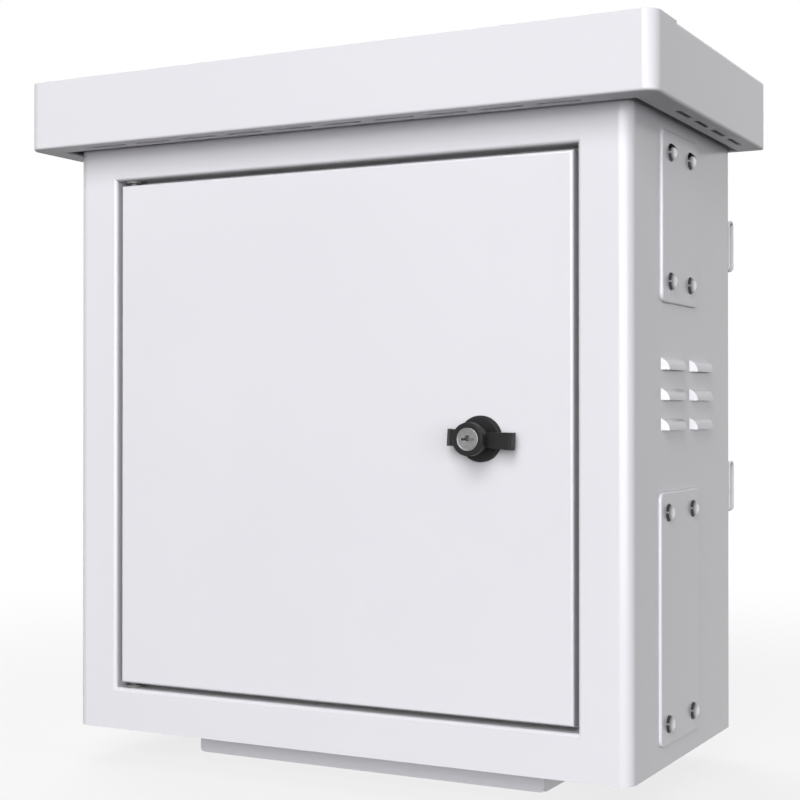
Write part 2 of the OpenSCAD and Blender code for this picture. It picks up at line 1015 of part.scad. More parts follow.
module wall_bracket(side, z) {
    color(paint)
        cabinet_frame()
            translate([side * bracket_x, body_d, z])
                difference() {
                    intersection() {
                        translate([-bracket_w / 2, 0, bracket_h / 2])
                            sideways(bracket_w)
                                bracket_fold();
                        upright(stand_off)
                            union() {
                                round_rect(bracket_w, bracket_h, bracket_r);
                                translate([-bracket_w / 2, 0])
                                    square([bracket_w, bracket_h / 2]);
                            }
                    }
                    along_y()
                        cylinder(d = wall_hole_d, h = stand_off + over);
                    translate([0, -over, 0])
                        bracket_front_holes();
                }
}

// Holes through the flange of a bracket that lies on the body
module bracket_front_holes() {
    along_y() {
        cylinder(d = access_d, h = bracket_t + 2 * over);
        for (end = [-1, 1])
            translate([0, end * rivet_z, 0])
                cylinder(d = rivet_d, h = bracket_t + 2 * over);
    }
}

module bracket_upper_right() {
    wall_bracket(1, bracket_high);
}

module bracket_upper_left() {
    wall_bracket(-1, bracket_high);
}

module bracket_lower_right() {
    wall_bracket(1, bracket_low);
}

module bracket_lower_left() {
    wall_bracket(-1, bracket_low);
}

// Rivets through the bracket, the rear flange and the back panel
module bracket_rivets() {
    color(zinc)
        cabinet_frame()
            at_brackets()
                for (end = [-1, 1])
                    translate([0, -2 * sheet, end * rivet_z])
                        along_y() {
                            translate([0, 0, -rivet_head_t])
                                cylinder(d = rivet_head_d, h = rivet_head_t);
                            cylinder(d = rivet_d, h = 2 * sheet + bracket_t);
                            translate([0, 0, 2 * sheet + bracket_t])
                                cylinder(d1 = rivet_head_d, d2 = rivet_d, h = rivet_head_t);
                        }
}

// Inside

module at_plate_studs() {
    translate([0, 0, mid_h])
        rotate([90, 0, 0])
            at_corners(plate_stud_x, plate_stud_z)
                children();
}

module mounting_plate() {
    color(zinc)
        cabinet_frame()
            difference() {
                translate([0, plate_y, mid_h])
                    upright(plate_t)
                        round_rect(plate_w, plate_h, plate_r);
                at_plate_studs()
                    translate([0, 0, -plate_y - 2 * plate_t])
                        cylinder(d = screw_d, h = 3 * plate_t);
            }
}

// Stud with a shoulder that the mounting plate rests on
module plate_studs() {
    shoulder_step = 3;
    shoulder_d = screw_d + 2 * shoulder_step;
    stud_l = plate_lift + plate_t + nut_h + thread_end;
    color(zinc)
        cabinet_frame()
            at_plate_studs()
                translate([0, 0, -back_y]) {
                    cylinder(d = shoulder_d, h = plate_lift);
                    cylinder(d = screw_d, h = stud_l);
                }
}

module plate_nuts() {
    color(zinc)
        cabinet_frame()
            at_plate_studs()
                translate([0, 0, -plate_y])
                    hex_nut(nut_af, nut_h, screw_d);
}

module earth_stud() {
    color(brass)
        cabinet_frame()
            translate([earth_x, tray_y, sheet])
                cylinder(d = screw_d, h = earth_l);
}

module earth_nut() {
    color(brass)
        cabinet_frame()
            translate([earth_x, tray_y, sheet])
                hex_nut(nut_af, nut_h, screw_d);
}

// Door and hinges

module hinge_bush() {
    translate([hinge_x, hinge_y, top_of_opening])
        difference() {
            union() {
                translate([0, 0, -bush_flange_t])
                    cylinder(d = bush_flange_d, h = bush_flange_t);
                cylinder(d = bush_d, h = sheet + bush_reach);
            }
            translate([0, 0, -bush_flange_t - over])
                cylinder(d = pin_d + 2 * run_clearance, h = sheet + bush_reach + bush_flange_t + 2 * over);
        }
}

module hinge_bush_upper() {
    color(bush_grey)
        cabinet_frame()
            hinge_bush();
}

module hinge_bush_lower() {
    color(bush_grey)
        cabinet_frame()
            lower_end()
                hinge_bush();
}

// Pivot pin: threaded tail in the door, collar under the bush, journal in the bush
module hinge_pin() {
    collar_h = door_gap - bush_flange_t - end_play;
    translate([hinge_x, hinge_y, top_of_door]) {
        translate([0, 0, -pin_tail_l])
            cylinder(d = pin_tail_d, h = pin_tail_l);
        cylinder(d = pin_collar_d, h = collar_h);
        cylinder(d = pin_d, h = door_gap + sheet + bush_reach);
    }
}

module hinge_pin_upper() {
    color(black_steel)
        cabinet_frame()
            hinge_pin();
}

module hinge_pin_lower() {
    color(black_steel)
        cabinet_frame()
            lower_end()
                hinge_pin();
}

module hinge_nuts() {
    color(zinc)
        cabinet_frame()
            both_ends()
                translate([hinge_x, hinge_y, top_of_door - sheet - small_h])
                    hex_nut(small_af, small_h, pin_tail_d);
}

module door_panel() {
    color(paint)
        cabinet_frame()
            difference() {
                translate([0, door_recess, 0])
                    dished(door_w, door_h, door_depth, door_bend_r);
                translate([0, door_recess + sheet, 0])
                    dished(door_w - 2 * sheet, door_h - 2 * sheet, door_depth - 2 * sheet,
                        door_bend_r - sheet);
                translate([0, door_back - 2 * sheet, mid_h])
                    upright(3 * sheet)
                        square([door_w - 2 * door_flange_w, door_h - 2 * door_flange_w], center = true);
                at_lock()
                    translate([0, 0, -over])
                        cylinder(d = tail_d, h = sheet + 2 * over);
                both_ends()
                    translate([hinge_x, hinge_y, top_of_door - sheet - over])
                        cylinder(d = pin_tail_d, h = sheet + 2 * over);
            }
}

module door_gasket() {
    seal_outer_w = door_w - 2 * seal_inset;
    seal_outer_h = door_h - 2 * seal_inset;
    color(rubber_black)
        cabinet_frame()
            translate([0, door_back, mid_h])
                upright(seal_t)
                    difference() {
                        round_rect(seal_outer_w, seal_outer_h, seal_corner_r);
                        round_rect(seal_outer_w - 2 * seal_w, seal_outer_h - 2 * seal_w,
                            seal_corner_r - seal_w);
                    }
}

module at_door_earth() {
    translate([hinge_x + door_flange_w + plate_side / 2, door_recess + sheet, mid_h - door_h / 4])
        along_y()
            children();
}

module door_earth_stud() {
    color(brass)
        cabinet_frame()
            at_door_earth()
                cylinder(d = pin_tail_d, h = door_earth_l);
}

module door_earth_nut() {
    color(brass)
        cabinet_frame()
            at_door_earth()
                hex_nut(small_af, small_h, pin_tail_d);
}

// Lock

// Puts the lock axis on Z, with zero on the door face and the cabinet's inside above it
module at_lock() {
    translate([lock_x, door_recess, mid_h - lock_drop])
        along_y()
            children();
}

module lock_base() {
    edge = 1.5;
    color(lock_black)
        cabinet_frame()
            at_lock()
                difference() {
                    union() {
                        translate([0, 0, -base_t])
                            cylinder(d1 = base_d - 2 * edge, d2 = base_d, h = edge);
                        translate([0, 0, edge - base_t])
                            cylinder(d = base_d, h = base_t - edge);
                        cylinder(d = tail_d, h = tail_l);
                    }
                    translate([0, 0, -base_t - over])
                        cylinder(d = spindle_d + 2 * run_clearance, h = base_t + tail_l + 2 * over);
                }
}

module lock_nut() {
    lock_nut_wall = 4;
    lock_nut_af = tail_d + 2 * lock_nut_wall;
    color(zinc)
        cabinet_frame()
            at_lock()
                translate([0, 0, sheet])
                    hex_nut(lock_nut_af, small_h, tail_d);
}

// Plan of the handle wings: x along the wing, y towards the wall
module wing_plan() {
    wing_back = -base_t - wing_lift;
    wing_front = wing_back - wing_t;
    polygon([
        [-wing_short, wing_back],
        [wing_long, wing_back],
        [wing_long, wing_front + long_bevel],
        [wing_long - long_bevel, wing_front],
        [short_bevel - wing_short, wing_front],
        [-wing_short, wing_front + short_bevel]
    ]);
}

// Front view of the handle wings, which grow higher towards their tips
module wing_front_view() {
    polygon([
        [-wing_short, -wing_h / 2],
        [0, -wing_root_h / 2],
        [wing_long, -wing_h / 2],
        [wing_long, wing_h / 2],
        [0, wing_root_h / 2],
        [-wing_short, wing_h / 2]
    ]);
}

module wings() {
    rotate(wing_tilt)
        intersection() {
            translate([0, wing_h / 2, 0])
                rotate([90, 0, 0])
                    linear_extrude(wing_h)
                        wing_plan();
            translate([0, 0, -base_t - barrel_l])
                linear_extrude(barrel_l)
                    wing_front_view();
        }
}

// Turned shape of the barrel: a collar with a soft front edge, then a cone down to the lock base
module barrel(front, back) {
    edge = 1.5;
    rotate_extrude() {
        polygon([
            [0, front + edge],
            [barrel_d / 2, front + edge],
            [barrel_d / 2, front + collar_l],
            [hub_d / 2, back],
            [0, back]
        ]);
        translate([0, front])
            square([barrel_d / 2 - edge, 2 * edge]);
        translate([barrel_d / 2 - edge, front + edge])
            circle(edge);
    }
}

module wing_handle() {
    barrel_back = -base_t - end_play;
    barrel_front = -base_t - barrel_l;
    color(lock_black)
        cabinet_frame()
            at_lock()
                difference() {
                    union() {
                        barrel(barrel_front, barrel_back);
                        wings();
                        translate([0, 0, barrel_back])
                            cylinder(d = spindle_d, h = cam_z - barrel_back);
                        translate([-square_w / 2, -square_w / 2, cam_z])
                            cube([square_w, square_w, cam_t]);
                    }
                    translate([0, 0, barrel_front - over])
                        cylinder(d = plug_d + 2 * run_clearance, h = plug_l + over);
                    translate([0, 0, cam_z + cam_t - cam_screw_depth])
                        cylinder(d = cam_screw_d, h = cam_screw_depth + over);
                }
}

// The cam points up when the long wing is to the right, and to the right after a quarter turn
module lock_cam() {
    color(zinc)
        cabinet_frame()
            at_lock()
                translate([0, 0, cam_z])
                    linear_extrude(cam_t)
                        difference() {
                            translate([0, -(cam_reach - cam_w / 2) / 2])
                                rotate(90)
                                    slot(cam_reach + cam_w / 2, cam_w);
                            square(square_w, center = true);
                        }
}

module cam_screw() {
    color(zinc)
        cabinet_frame()
            at_lock()
                translate([0, 0, cam_z + cam_t]) {
                    cylinder(d1 = cam_head_d, d2 = cam_head_d - 2 * cam_head_edge, h = cam_head_t);
                    translate([0, 0, -cam_screw_depth])
                        cylinder(d = cam_screw_d, h = cam_screw_depth);
                }
}

module key_plug() {
    plug_face = -base_t - barrel_l;
    edge = 0.6;
    rim_w = 1;
    rim_h = 0.4;
    key_depth = 7;
    color(bright_steel)
        cabinet_frame()
            at_lock()
                difference() {
                    union() {
                        translate([0, 0, plug_face])
                            cylinder(d1 = plug_d - 2 * edge, d2 = plug_d, h = edge);
                        translate([0, 0, plug_face + edge])
                            cylinder(d = plug_d, h = plug_l - edge - run_clearance);
                    }
                    translate([0, 0, plug_face - over])
                        cylinder(d = plug_d - 2 * edge - 2 * rim_w, h = rim_h + over);
                    translate([-key_slot_l / 2, -key_slot_w / 2, plug_face - over])
                        cube([key_slot_l, key_slot_w, key_depth + over]);
                    translate([0, -key_slot_w / 2, plug_face - over])
                        cylinder(d = key_eye_d, h = key_depth + over);
                }
}

body_wrap();
back_panel();
top_panel();
floor_panel();
roof_cap();
roof_sleeves();
roof_studs();
roof_nuts();
gland_tray();
cable_grommets();
tray_screws();
tray_nuts();
side_cover_upper();
side_cover_lower();
cover_screws_upper();
cover_screws_lower();
cover_nuts_upper();
cover_nuts_lower();
bracket_upper_right();
bracket_upper_left();
bracket_lower_right();
bracket_lower_left();
bracket_rivets();
mounting_plate();
plate_studs();
plate_nuts();
earth_stud();
earth_nut();
hinge_bush_upper();
hinge_bush_lower();
door_panel();
door_gasket();
hinge_pin_upper();
hinge_pin_lower();
hinge_nuts();
lock_base();
lock_nut();
door_earth_stud();
door_earth_nut();
wing_handle();
lock_cam();
cam_screw();
key_plug();
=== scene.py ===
# %% [markdown]
# # A roadside utility cabinet
# The cabinet is folded from steel sheet and powder coated in light grey. Its solids come from
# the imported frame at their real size, in metres, so nothing here is fitted by eye: each cell adds
# a finish, a softer edge or a finer piece where the frame says it belongs.

# %% Load the frame
import json
import math

import bmesh
import bpy
from mathutils import Matrix, Vector

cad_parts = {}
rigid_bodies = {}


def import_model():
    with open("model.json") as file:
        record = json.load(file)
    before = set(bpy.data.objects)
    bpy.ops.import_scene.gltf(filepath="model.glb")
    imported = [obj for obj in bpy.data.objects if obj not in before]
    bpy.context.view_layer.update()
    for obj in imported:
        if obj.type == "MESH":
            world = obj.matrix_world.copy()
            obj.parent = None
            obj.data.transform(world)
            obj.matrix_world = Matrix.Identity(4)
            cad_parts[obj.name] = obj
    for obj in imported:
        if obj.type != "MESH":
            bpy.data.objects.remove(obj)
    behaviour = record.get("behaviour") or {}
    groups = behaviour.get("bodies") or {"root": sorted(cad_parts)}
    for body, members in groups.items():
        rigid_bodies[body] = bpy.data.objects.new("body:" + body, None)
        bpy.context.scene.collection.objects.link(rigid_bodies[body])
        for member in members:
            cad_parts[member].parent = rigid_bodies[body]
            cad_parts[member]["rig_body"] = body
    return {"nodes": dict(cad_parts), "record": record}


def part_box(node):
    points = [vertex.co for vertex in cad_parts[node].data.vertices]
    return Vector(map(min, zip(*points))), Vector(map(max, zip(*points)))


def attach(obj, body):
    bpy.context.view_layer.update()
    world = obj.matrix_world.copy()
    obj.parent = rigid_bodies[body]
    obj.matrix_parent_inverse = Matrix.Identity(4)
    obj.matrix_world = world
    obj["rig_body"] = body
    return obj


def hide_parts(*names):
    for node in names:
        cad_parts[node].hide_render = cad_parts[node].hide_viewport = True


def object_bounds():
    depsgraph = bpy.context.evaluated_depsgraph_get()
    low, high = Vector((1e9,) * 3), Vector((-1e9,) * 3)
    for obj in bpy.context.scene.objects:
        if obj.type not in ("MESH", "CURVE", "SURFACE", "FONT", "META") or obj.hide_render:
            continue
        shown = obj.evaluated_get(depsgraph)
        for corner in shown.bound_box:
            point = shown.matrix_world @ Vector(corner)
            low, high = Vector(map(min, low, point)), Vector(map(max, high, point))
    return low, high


MM = 0.001
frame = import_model()
nodes = frame["nodes"]
cad_low, cad_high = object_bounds()
slot_of = {part["node"]: part["material_slot"] for part in frame["record"]["subparts"]}
print("nodes:", len(nodes), "box:", [round(x, 3) for x in cad_high - cad_low])

# %% [markdown]
# ## Camera
# The photograph looks at the near front corner from 28 degrees to the right of the front, level
# with the middle of the body. The place and the lens were worked out from the straight edges of
# the box, so they are written as numbers. A camera that is turned by eye would never bring all
# edges into line at once.

# %% Camera
CAMERA_PLACE = Vector((0.7526, -1.4253, 0.3543))
CAMERA_YAW = math.radians(27.73)
CAMERA_PITCH = math.radians(0.37)
LENS_MM = 70.8
SENSOR_MM = 36.0

camera_data = bpy.data.cameras.new("camera")
camera_data.lens = LENS_MM
camera_data.sensor_width = SENSOR_MM
camera = bpy.data.objects.new("camera", camera_data)
camera.location = CAMERA_PLACE
camera.rotation_euler = (math.pi / 2 + CAMERA_PITCH, 0.0, CAMERA_YAW)
bpy.context.collection.objects.link(camera)
bpy.context.scene.camera = camera
bpy.context.scene.view_settings.view_transform = "Standard"
print("camera:", [round(x, 3) for x in camera.location], "lens", LENS_MM)

# %% [markdown]
# ## Node trees from code
# A material is a tree of nodes joined by links. Drawn by hand it is a picture. Written in code it
# is a list, where each new node is told what feeds its sockets: a plain value, or the output of a
# node made before it. A few small helpers keep every tree below short enough to read.

# %% Node helpers
WHITE = (1.0, 1.0, 1.0, 1.0)


def add_node(tree, kind, sockets=None, **settings):
    """A new node; each socket, by name or number, takes a value or another node's output."""
    made = tree.nodes.new(kind)
    for key, value in settings.items():
        setattr(made, key, value)
    for key, value in (sockets or {}).items():
        if isinstance(value, bpy.types.NodeSocket):
            tree.links.new(value, made.inputs[key])
        else:
            made.inputs[key].default_value = value
    return made


def calculate(tree, operation, first, second):
    """The output of a Math node."""
    return add_node(tree, "ShaderNodeMath", {0: first, 1: second}, operation=operation).outputs[0]


def vector_math(tree, operation, *vectors):
    """The outputs of a Vector Math node."""
    sockets = dict(enumerate(vectors))
    return add_node(tree, "ShaderNodeVectorMath", sockets, operation=operation).outputs


def place_of(tree):
    """Where a point lies in the frame, in metres."""
    return add_node(tree, "ShaderNodeTexCoord").outputs["Object"]


print("node helpers ready")

# %% [markdown]
# ## Studio
# A large softbox, high in front, lights the face of the cabinet. A wide, low one stands before
# the near corner, so every bend between the front and the right side carries one bright line, and
# the side itself stays a tone darker. A third one lights the back and the left side, which the
# photograph doesn't show. The world is a weak, even fill. To the camera, in reflections and
# through glass it is plain white, which costs the cabinet no extra light.

# %% Studio light
WORLD_FILL = 0.05
# Each softbox: azimuth and height in degrees, then distance, width and height in metres, and watts
SOFTBOXES = {
    "front_softbox": (10, 30, 11.0, 6.9, 6.9, 870.0),
    "corner_softbox": (33, 3, 11.0, 13.8, 3.9, 690.0),
    "rear_softbox": (225, 35, 11.0, 6.9, 6.9, 1050.0),
}


def white_to_view(tree):
    """1 for rays from the camera, in reflections and through glass, else 0."""
    path = add_node(tree, "ShaderNodeLightPath").outputs
    seen = calculate(tree, "MAXIMUM", path["Is Camera Ray"], path["Is Glossy Ray"])
    return calculate(tree, "MAXIMUM", seen, path["Is Transmission Ray"])


def mix_shaders(tree, share, first, second, output):
    """Joins a mix of two shaders to the surface of an output node."""
    sockets = {"Fac": share, 1: first.outputs[0], 2: second.outputs[0]}
    mix = add_node(tree, "ShaderNodeMixShader", sockets)
    tree.links.new(mix.outputs[0], tree.nodes[output].inputs["Surface"])


def make_world():
    world = bpy.data.worlds.new("studio")
    world.use_nodes = True
    tree = world.node_tree
    fill = tree.nodes["Background"]
    fill.inputs["Color"].default_value = WHITE
    fill.inputs["Strength"].default_value = WORLD_FILL
    plain = add_node(tree, "ShaderNodeBackground", {"Color": WHITE, "Strength": 1.0})
    mix_shaders(tree, white_to_view(tree), fill, plain, "World Output")
    bpy.context.scene.world = world


def softbox(name, azimuth, height, distance, size_x, size_y, power):
    """An area light that faces the middle of the cabinet from a direction round it."""
    data = bpy.data.lights.new(name, "AREA")
    data.shape = "RECTANGLE"
    data.size = size_x
    data.size_y = size_y
    data.energy = power
    lamp = bpy.data.objects.new(name, data)
    turn = math.radians(azimuth)
    rise = math.radians(height)
    level = math.cos(rise)
    away = Vector((math.sin(turn) * level, -math.cos(turn) * level, math.sin(rise)))
    lamp.location = (cad_low + cad_high) / 2 + away * distance
    lamp.rotation_euler = away.to_track_quat("Z", "Y").to_euler()
    bpy.context.collection.objects.link(lamp)
    print(name, "at", [round(x, 2) for x in lamp.location])


make_world()
for name, values in SOFTBOXES.items():
    softbox(name, *values)

# %% [markdown]
# ## Floor
# The cabinet stands on a pale sheet that fades into white. The sheet is a rough grey surface near
# the cabinet, where it takes the shadow, and it turns into plain white light further out. A white
# floor that reflected as well would brighten the underside of the roof, which is dark in the
# photograph, so the floor is kept out of the light that falls on the cabinet.

# %% Floor
FLOOR_SIZE = 14.0
FLOOR_TONE = (0.55, 0.55, 0.55, 1.0)
FLOOR_ROUGHNESS = 0.9
FLOOR_GLOW = 0.8
FLOOR_NEAR = 0.5
FLOOR_FAR = 1.8


def floor_finish():
    material = bpy.data.materials.new("pale_floor")
    material.use_nodes = True
    tree = material.node_tree
    shader = tree.nodes["Principled BSDF"]
    shader.inputs["Base Color"].default_value = FLOOR_TONE
    shader.inputs["Roughness"].default_value = FLOOR_ROUGHNESS
    away = vector_math(tree, "LENGTH", place_of(tree))["Value"]
    fade = add_node(
        tree, "ShaderNodeMapRange",
        {"Value": away, "From Min": FLOOR_NEAR, "From Max": FLOOR_FAR, "To Min": FLOOR_GLOW},
        interpolation_type="SMOOTHSTEP",
    )
    share = calculate(tree, "MULTIPLY", white_to_view(tree), fade.outputs["Result"])
    glow = add_node(tree, "ShaderNodeEmission")
    mix_shaders(tree, share, shader, glow, "Material Output")
    return material


def make_floor():
    mesh = bpy.data.meshes.new("floor")
    half = FLOOR_SIZE / 2
    corners = [(-half, -half, 0), (half, -half, 0), (half, half, 0), (-half, half, 0)]
    mesh.from_pydata(corners, [], [(0, 1, 2, 3)])
    mesh.materials.append(floor_finish())
    floor = bpy.data.objects.new("floor", mesh)
    bpy.context.collection.objects.link(floor)
    floor.visible_diffuse = False
    floor.visible_glossy = False
    floor.visible_shadow = False


make_floor()
print("floor:", FLOOR_SIZE, "m across")

# %% [markdown]
# ## Effects that several finishes share
# Paint, plastic, rubber and plated steel all drift a little in tone, have a grain, and get rubbed
# along their edges. Each of these effects is a node group: a tree in a box, with named sockets,
# that is built once and placed in each material with its own sizes. All sizes are metres on the
# real surface, because the Object coordinates of every piece are the coordinates of the frame.

# %% Group helpers
NUMBER = "NodeSocketFloat"
DIRECTION = "NodeSocketVector"


def new_group(name, inputs, outputs):
    """An empty node group, the sockets that feed it and the sockets that it gives out."""
    tree = bpy.data.node_groups.new(name, "ShaderNodeTree")
    for socket, start in inputs.items():
        made = tree.interface.new_socket(name=socket, in_out="INPUT", socket_type=NUMBER)
        made.default_value = start
    for socket, kind in outputs.items():
        tree.interface.new_socket(name=socket, in_out="OUTPUT", socket_type=kind)
    given = tree.nodes.new("NodeGroupInput").outputs
    return tree, given, tree.nodes.new("NodeGroupOutput").inputs


def noise(tree, size, detail):
    """Soft random values whose patches are about this size."""
    scale = calculate(tree, "DIVIDE", 1.0, size)
    sockets = {"Vector": place_of(tree), "Scale": scale, "Detail": detail}
    return add_node(tree, "ShaderNodeTexNoise", sockets).outputs[0]


def remap(tree, value, from_low, from_high, to_low, to_high):
    """A value moved from one range to another, and held inside it."""
    sockets = {
        "Value": value,
        "From Min": from_low, "From Max": from_high,
        "To Min": to_low, "To Max": to_high,
    }
    return add_node(tree, "ShaderNodeMapRange", sockets).outputs["Result"]


print("group helpers ready")

# %% [markdown]
# The first effect is a slow drift. No sprayed, moulded or plated surface has quite the same tone
# and gloss all over. A noise of large patches, moved into a narrow range, gives that without
# looking dirty.

# %% Slow drift
CLOUD_DETAIL = 3.0
CLOUD_RANGE = (0.3, 0.7)

slow_drift, given, out = new_group(
    "slow_drift", {"Size": 0.1, "Low": 0.0, "High": 1.0}, {"Value": NUMBER},
)
clouds = noise(slow_drift, given["Size"], CLOUD_DETAIL)
drifted = remap(slow_drift, clouds, *CLOUD_RANGE, given["Low"], given["High"])
slow_drift.links.new(drifted, out["Value"])
print("group:", slow_drift.name)

# %% [markdown]
# The second is a fine grain, a height for a Bump node. It is the orange peel of powder coat, the
# spark texture of a mould and the dull skin of rubber, which differ only in size and depth.

# %% Fine grain
GRAIN_DETAIL = 2.0

fine_grain, given, out = new_group("fine_grain", {"Size": 0.001}, {"Height": NUMBER})
fine_grain.links.new(noise(fine_grain, given["Size"], GRAIN_DETAIL), out["Height"])
print("group:", fine_grain.name)

# %% [markdown]
# The third finds the edges. A Bevel node gives the normal that a rounded edge would have. Where
# that normal leaves the true one there is an edge, and the difference becomes a mask for wear. A
# patchy noise breaks the mask, as wear is never even. The rounded normal comes out as well, for
# small fasteners whose edges are too fine to model.

# %% Rubbed edges
MASK_SAMPLES = 6
# How well the two normals agree where an edge begins, and where it is full
EDGE_AGREEMENT = (0.995, 0.85)
PATCH_SIZE = 20 * MM
PATCH_RANGE = (0.35, 0.65)
LEAST_RUBBED = 0.2

rubbed_edge, given, out = new_group(
    "rubbed_edge", {"Radius": 0.0005}, {"Mask": NUMBER, "Normal": DIRECTION},
)
bevel_node = add_node(
    rubbed_edge, "ShaderNodeBevel", {"Radius": given["Radius"]}, samples=MASK_SAMPLES,
)
rounded = bevel_node.outputs["Normal"]
true_normal = add_node(rubbed_edge, "ShaderNodeNewGeometry").outputs["Normal"]
agreement = vector_math(rubbed_edge, "DOT_PRODUCT", rounded, true_normal)["Value"]
edge = remap(rubbed_edge, agreement, *EDGE_AGREEMENT, 0.0, 1.0)
patches = noise(rubbed_edge, PATCH_SIZE, CLOUD_DETAIL)
broken = remap(rubbed_edge, patches, *PATCH_RANGE, LEAST_RUBBED, 1.0)
rubbed_edge.links.new(calculate(rubbed_edge, "MULTIPLY", edge, broken), out["Mask"])
rubbed_edge.links.new(rounded, out["Normal"])
print("group:", rubbed_edge.name)

# %% [markdown]
# Dust stays where nothing wipes it off: in the gap round the door, under the louvres and along
# every joint. The same mask paints shade into these places too: a darker tone in the deep gaps
# and at every contact, where shade falls. An Ambient Occlusion node measures how open a point is
# to the air round it, and only the points that are mostly closed in take part in the mask.

# %% Gap dust and painted shade
# How open a point is where the dust and painted shade begin, and where they are thickest
OPENNESS = (0.6, 0.1)

gap_dust_and_shade, given, out = new_group("gap_dust_and_shade", {"Reach": 0.012}, {"Mask": NUMBER})
air_node = add_node(
    gap_dust_and_shade, "ShaderNodeAmbientOcclusion", {"Distance": given["Reach"]}, samples=MASK_SAMPLES,
)
closed_in = remap(gap_dust_and_shade, air_node.outputs["AO"], *OPENNESS, 0.0, 1.0)
gap_dust_and_shade.links.new(closed_in, out["Mask"])
print("group:", gap_dust_and_shade.name)

# %% [markdown]
# The last is the fine grooves of a lathe. It takes a distance across the grooves, out from an
# axis or along it, and gives each groove a random height. A noise of one dimension is enough.

# %% Turned grooves
turned_grooves, given, out = new_group(
    "turned_grooves", {"Distance": 0.0, "Pitch": 0.0003}, {"Height": NUMBER},
)
groove = calculate(turned_grooves, "DIVIDE", given["Distance"], given["Pitch"])
grooves = add_node(
    turned_grooves, "ShaderNodeTexNoise", {"W": groove, "Scale": 1.0, "Detail": 1.0},
    noise_dimensions="1D",
)
turned_grooves.links.new(grooves.outputs[0], out["Height"])
print("group:", turned_grooves.name)

# %% [markdown]
# ## Finishes
# Each finish starts from the Principled shader. What is the same all over, such as how metallic
# it is, is set on the shader's own socket. What changes over the surface comes from the groups: a
# colour between two close tones, a roughness between two values, and a bump.

# %% Finish helpers
def new_finish(name, metallic=0.0, specular=0.5):
    """A new material: it, its tree and its shader."""
    material = bpy.data.materials.new(name)
    material.use_nodes = True
    shader = material.node_tree.nodes["Principled BSDF"]
    shader.inputs["Metallic"].default_value = metallic
    shader.inputs["Specular IOR Level"].default_value = specular
    return material, material.node_tree, shader


def effect(tree, group, **sockets):
    """The outputs of a node group placed with its own values."""
    return add_node(tree, "ShaderNodeGroup", sockets, node_tree=group).outputs


def drift(tree, size, low=0.0, high=1.0):
    """A value that drifts slowly between two others."""
    return effect(tree, slow_drift, Size=size, Low=low, High=high)["Value"]


def grain(tree, size):
    """The height of a fine grain."""
    return effect(tree, fine_grain, Size=size)["Height"]


def dust_and_shade_in_gaps(tree, reach):
    """How dusty a point is and how much shade is painted on it, from the room it has within this
    reach.
    """
    return effect(tree, gap_dust_and_shade, Reach=reach)["Mask"]


def coordinate(tree, vector, axis):
    """One coordinate of a vector."""
    return add_node(tree, "ShaderNodeSeparateXYZ", {0: vector}).outputs[axis]


def between(tree, share, first, second):
    """A colour between two, by a share from 0 to 1."""
    sockets = {0: share}
    for place, colour in ((6, first), (7, second)):
        linked = isinstance(colour, bpy.types.NodeSocket)
        sockets[place] = colour if linked else (*colour, 1.0)
    return add_node(tree, "ShaderNodeMix", sockets, data_type="RGBA").outputs[2]


def dress(tree, shader, colour, roughness, height, depth, normal=None):
    """Joins a colour, a roughness and a bump of this depth in metres to the shader."""
    sockets = {"Height": height, "Distance": depth}
    if normal:
        sockets["Normal"] = normal
    bump = add_node(tree, "ShaderNodeBump", sockets)
    tree.links.new(colour, shader.inputs["Base Color"])
    tree.links.new(roughness, shader.inputs["Roughness"])
    tree.links.new(bump.outputs["Normal"], shader.inputs["Normal"])


finishes = {}
print("finish helpers ready")

# %% [markdown]
# ### Powder coat
# The sheets are dusted with a charged powder that melts in an oven. It is a thick, even, satin
# coat with a faint orange peel, about 1.4 mm from bump to bump. It is a little lighter over
# rubbed edges. A dark tone, which also dulls it, is painted in three places: in the gaps as dust
# and painted shade, on faces that look down as painted shade, and on level faces such as the top
# of the roof as dust and painted shade that keeps the lit top from turning white.

# %% Powder coat
COAT_DARK = (0.79, 0.78, 0.825)
COAT_LIGHT = (0.81, 0.80, 0.845)
COAT_EDGE = (0.86, 0.85, 0.885)
# The dark tone of dust, and of the shade that is painted into the coat
COAT_DUST_AND_SHADE = (0.26, 0.255, 0.25)
COAT_RUBBED = 0.4
COAT_ROUGHNESS = (0.18, 0.22)
PEEL_SIZE = 1.4 * MM
PEEL_DEPTH = 0.006 * MM
# How much of the dark tone of dust and painted shade shows, and what it adds to the roughness
GAP_DUST_AND_SHADE_SHARE = 0.7
UNDERSIDE_SHADE_SHARE = 0.5
LEVEL_DUST_AND_SHADE_SHARE = 0.45
DUST_ROUGHNESS = 0.7
# How far up the normal points where a face counts as looking down, and as level
LOOKS_DOWN = (-0.4, -0.9)
IS_LEVEL = (0.95, 1.0)


def coat_dust_and_shade(tree):
    """Share of the dark tone: painted shade below, dust and painted shade in gaps and on top."""
    facing = add_node(tree, "ShaderNodeNewGeometry").outputs["Normal"]
    upward = coordinate(tree, facing, "Z")
    # Faces that look down get painted shade; level faces get dust and painted shade against white
    painted_underside_shade = remap(tree, upward, *LOOKS_DOWN, 0.0, UNDERSIDE_SHADE_SHARE)
    settled_dust_and_shade = remap(tree, upward, *IS_LEVEL, 0.0, LEVEL_DUST_AND_SHADE_SHARE)
    # Gaps and contacts get dust and painted shade
    gap_share_of_dust_and_shade = calculate(tree, "MULTIPLY", dust_and_shade_in_gaps(tree, 12 * MM), GAP_DUST_AND_SHADE_SHARE)
    face_dust_and_shade = calculate(tree, "MAXIMUM", painted_underside_shade, settled_dust_and_shade)
    return calculate(tree, "MAXIMUM", gap_share_of_dust_and_shade, face_dust_and_shade)


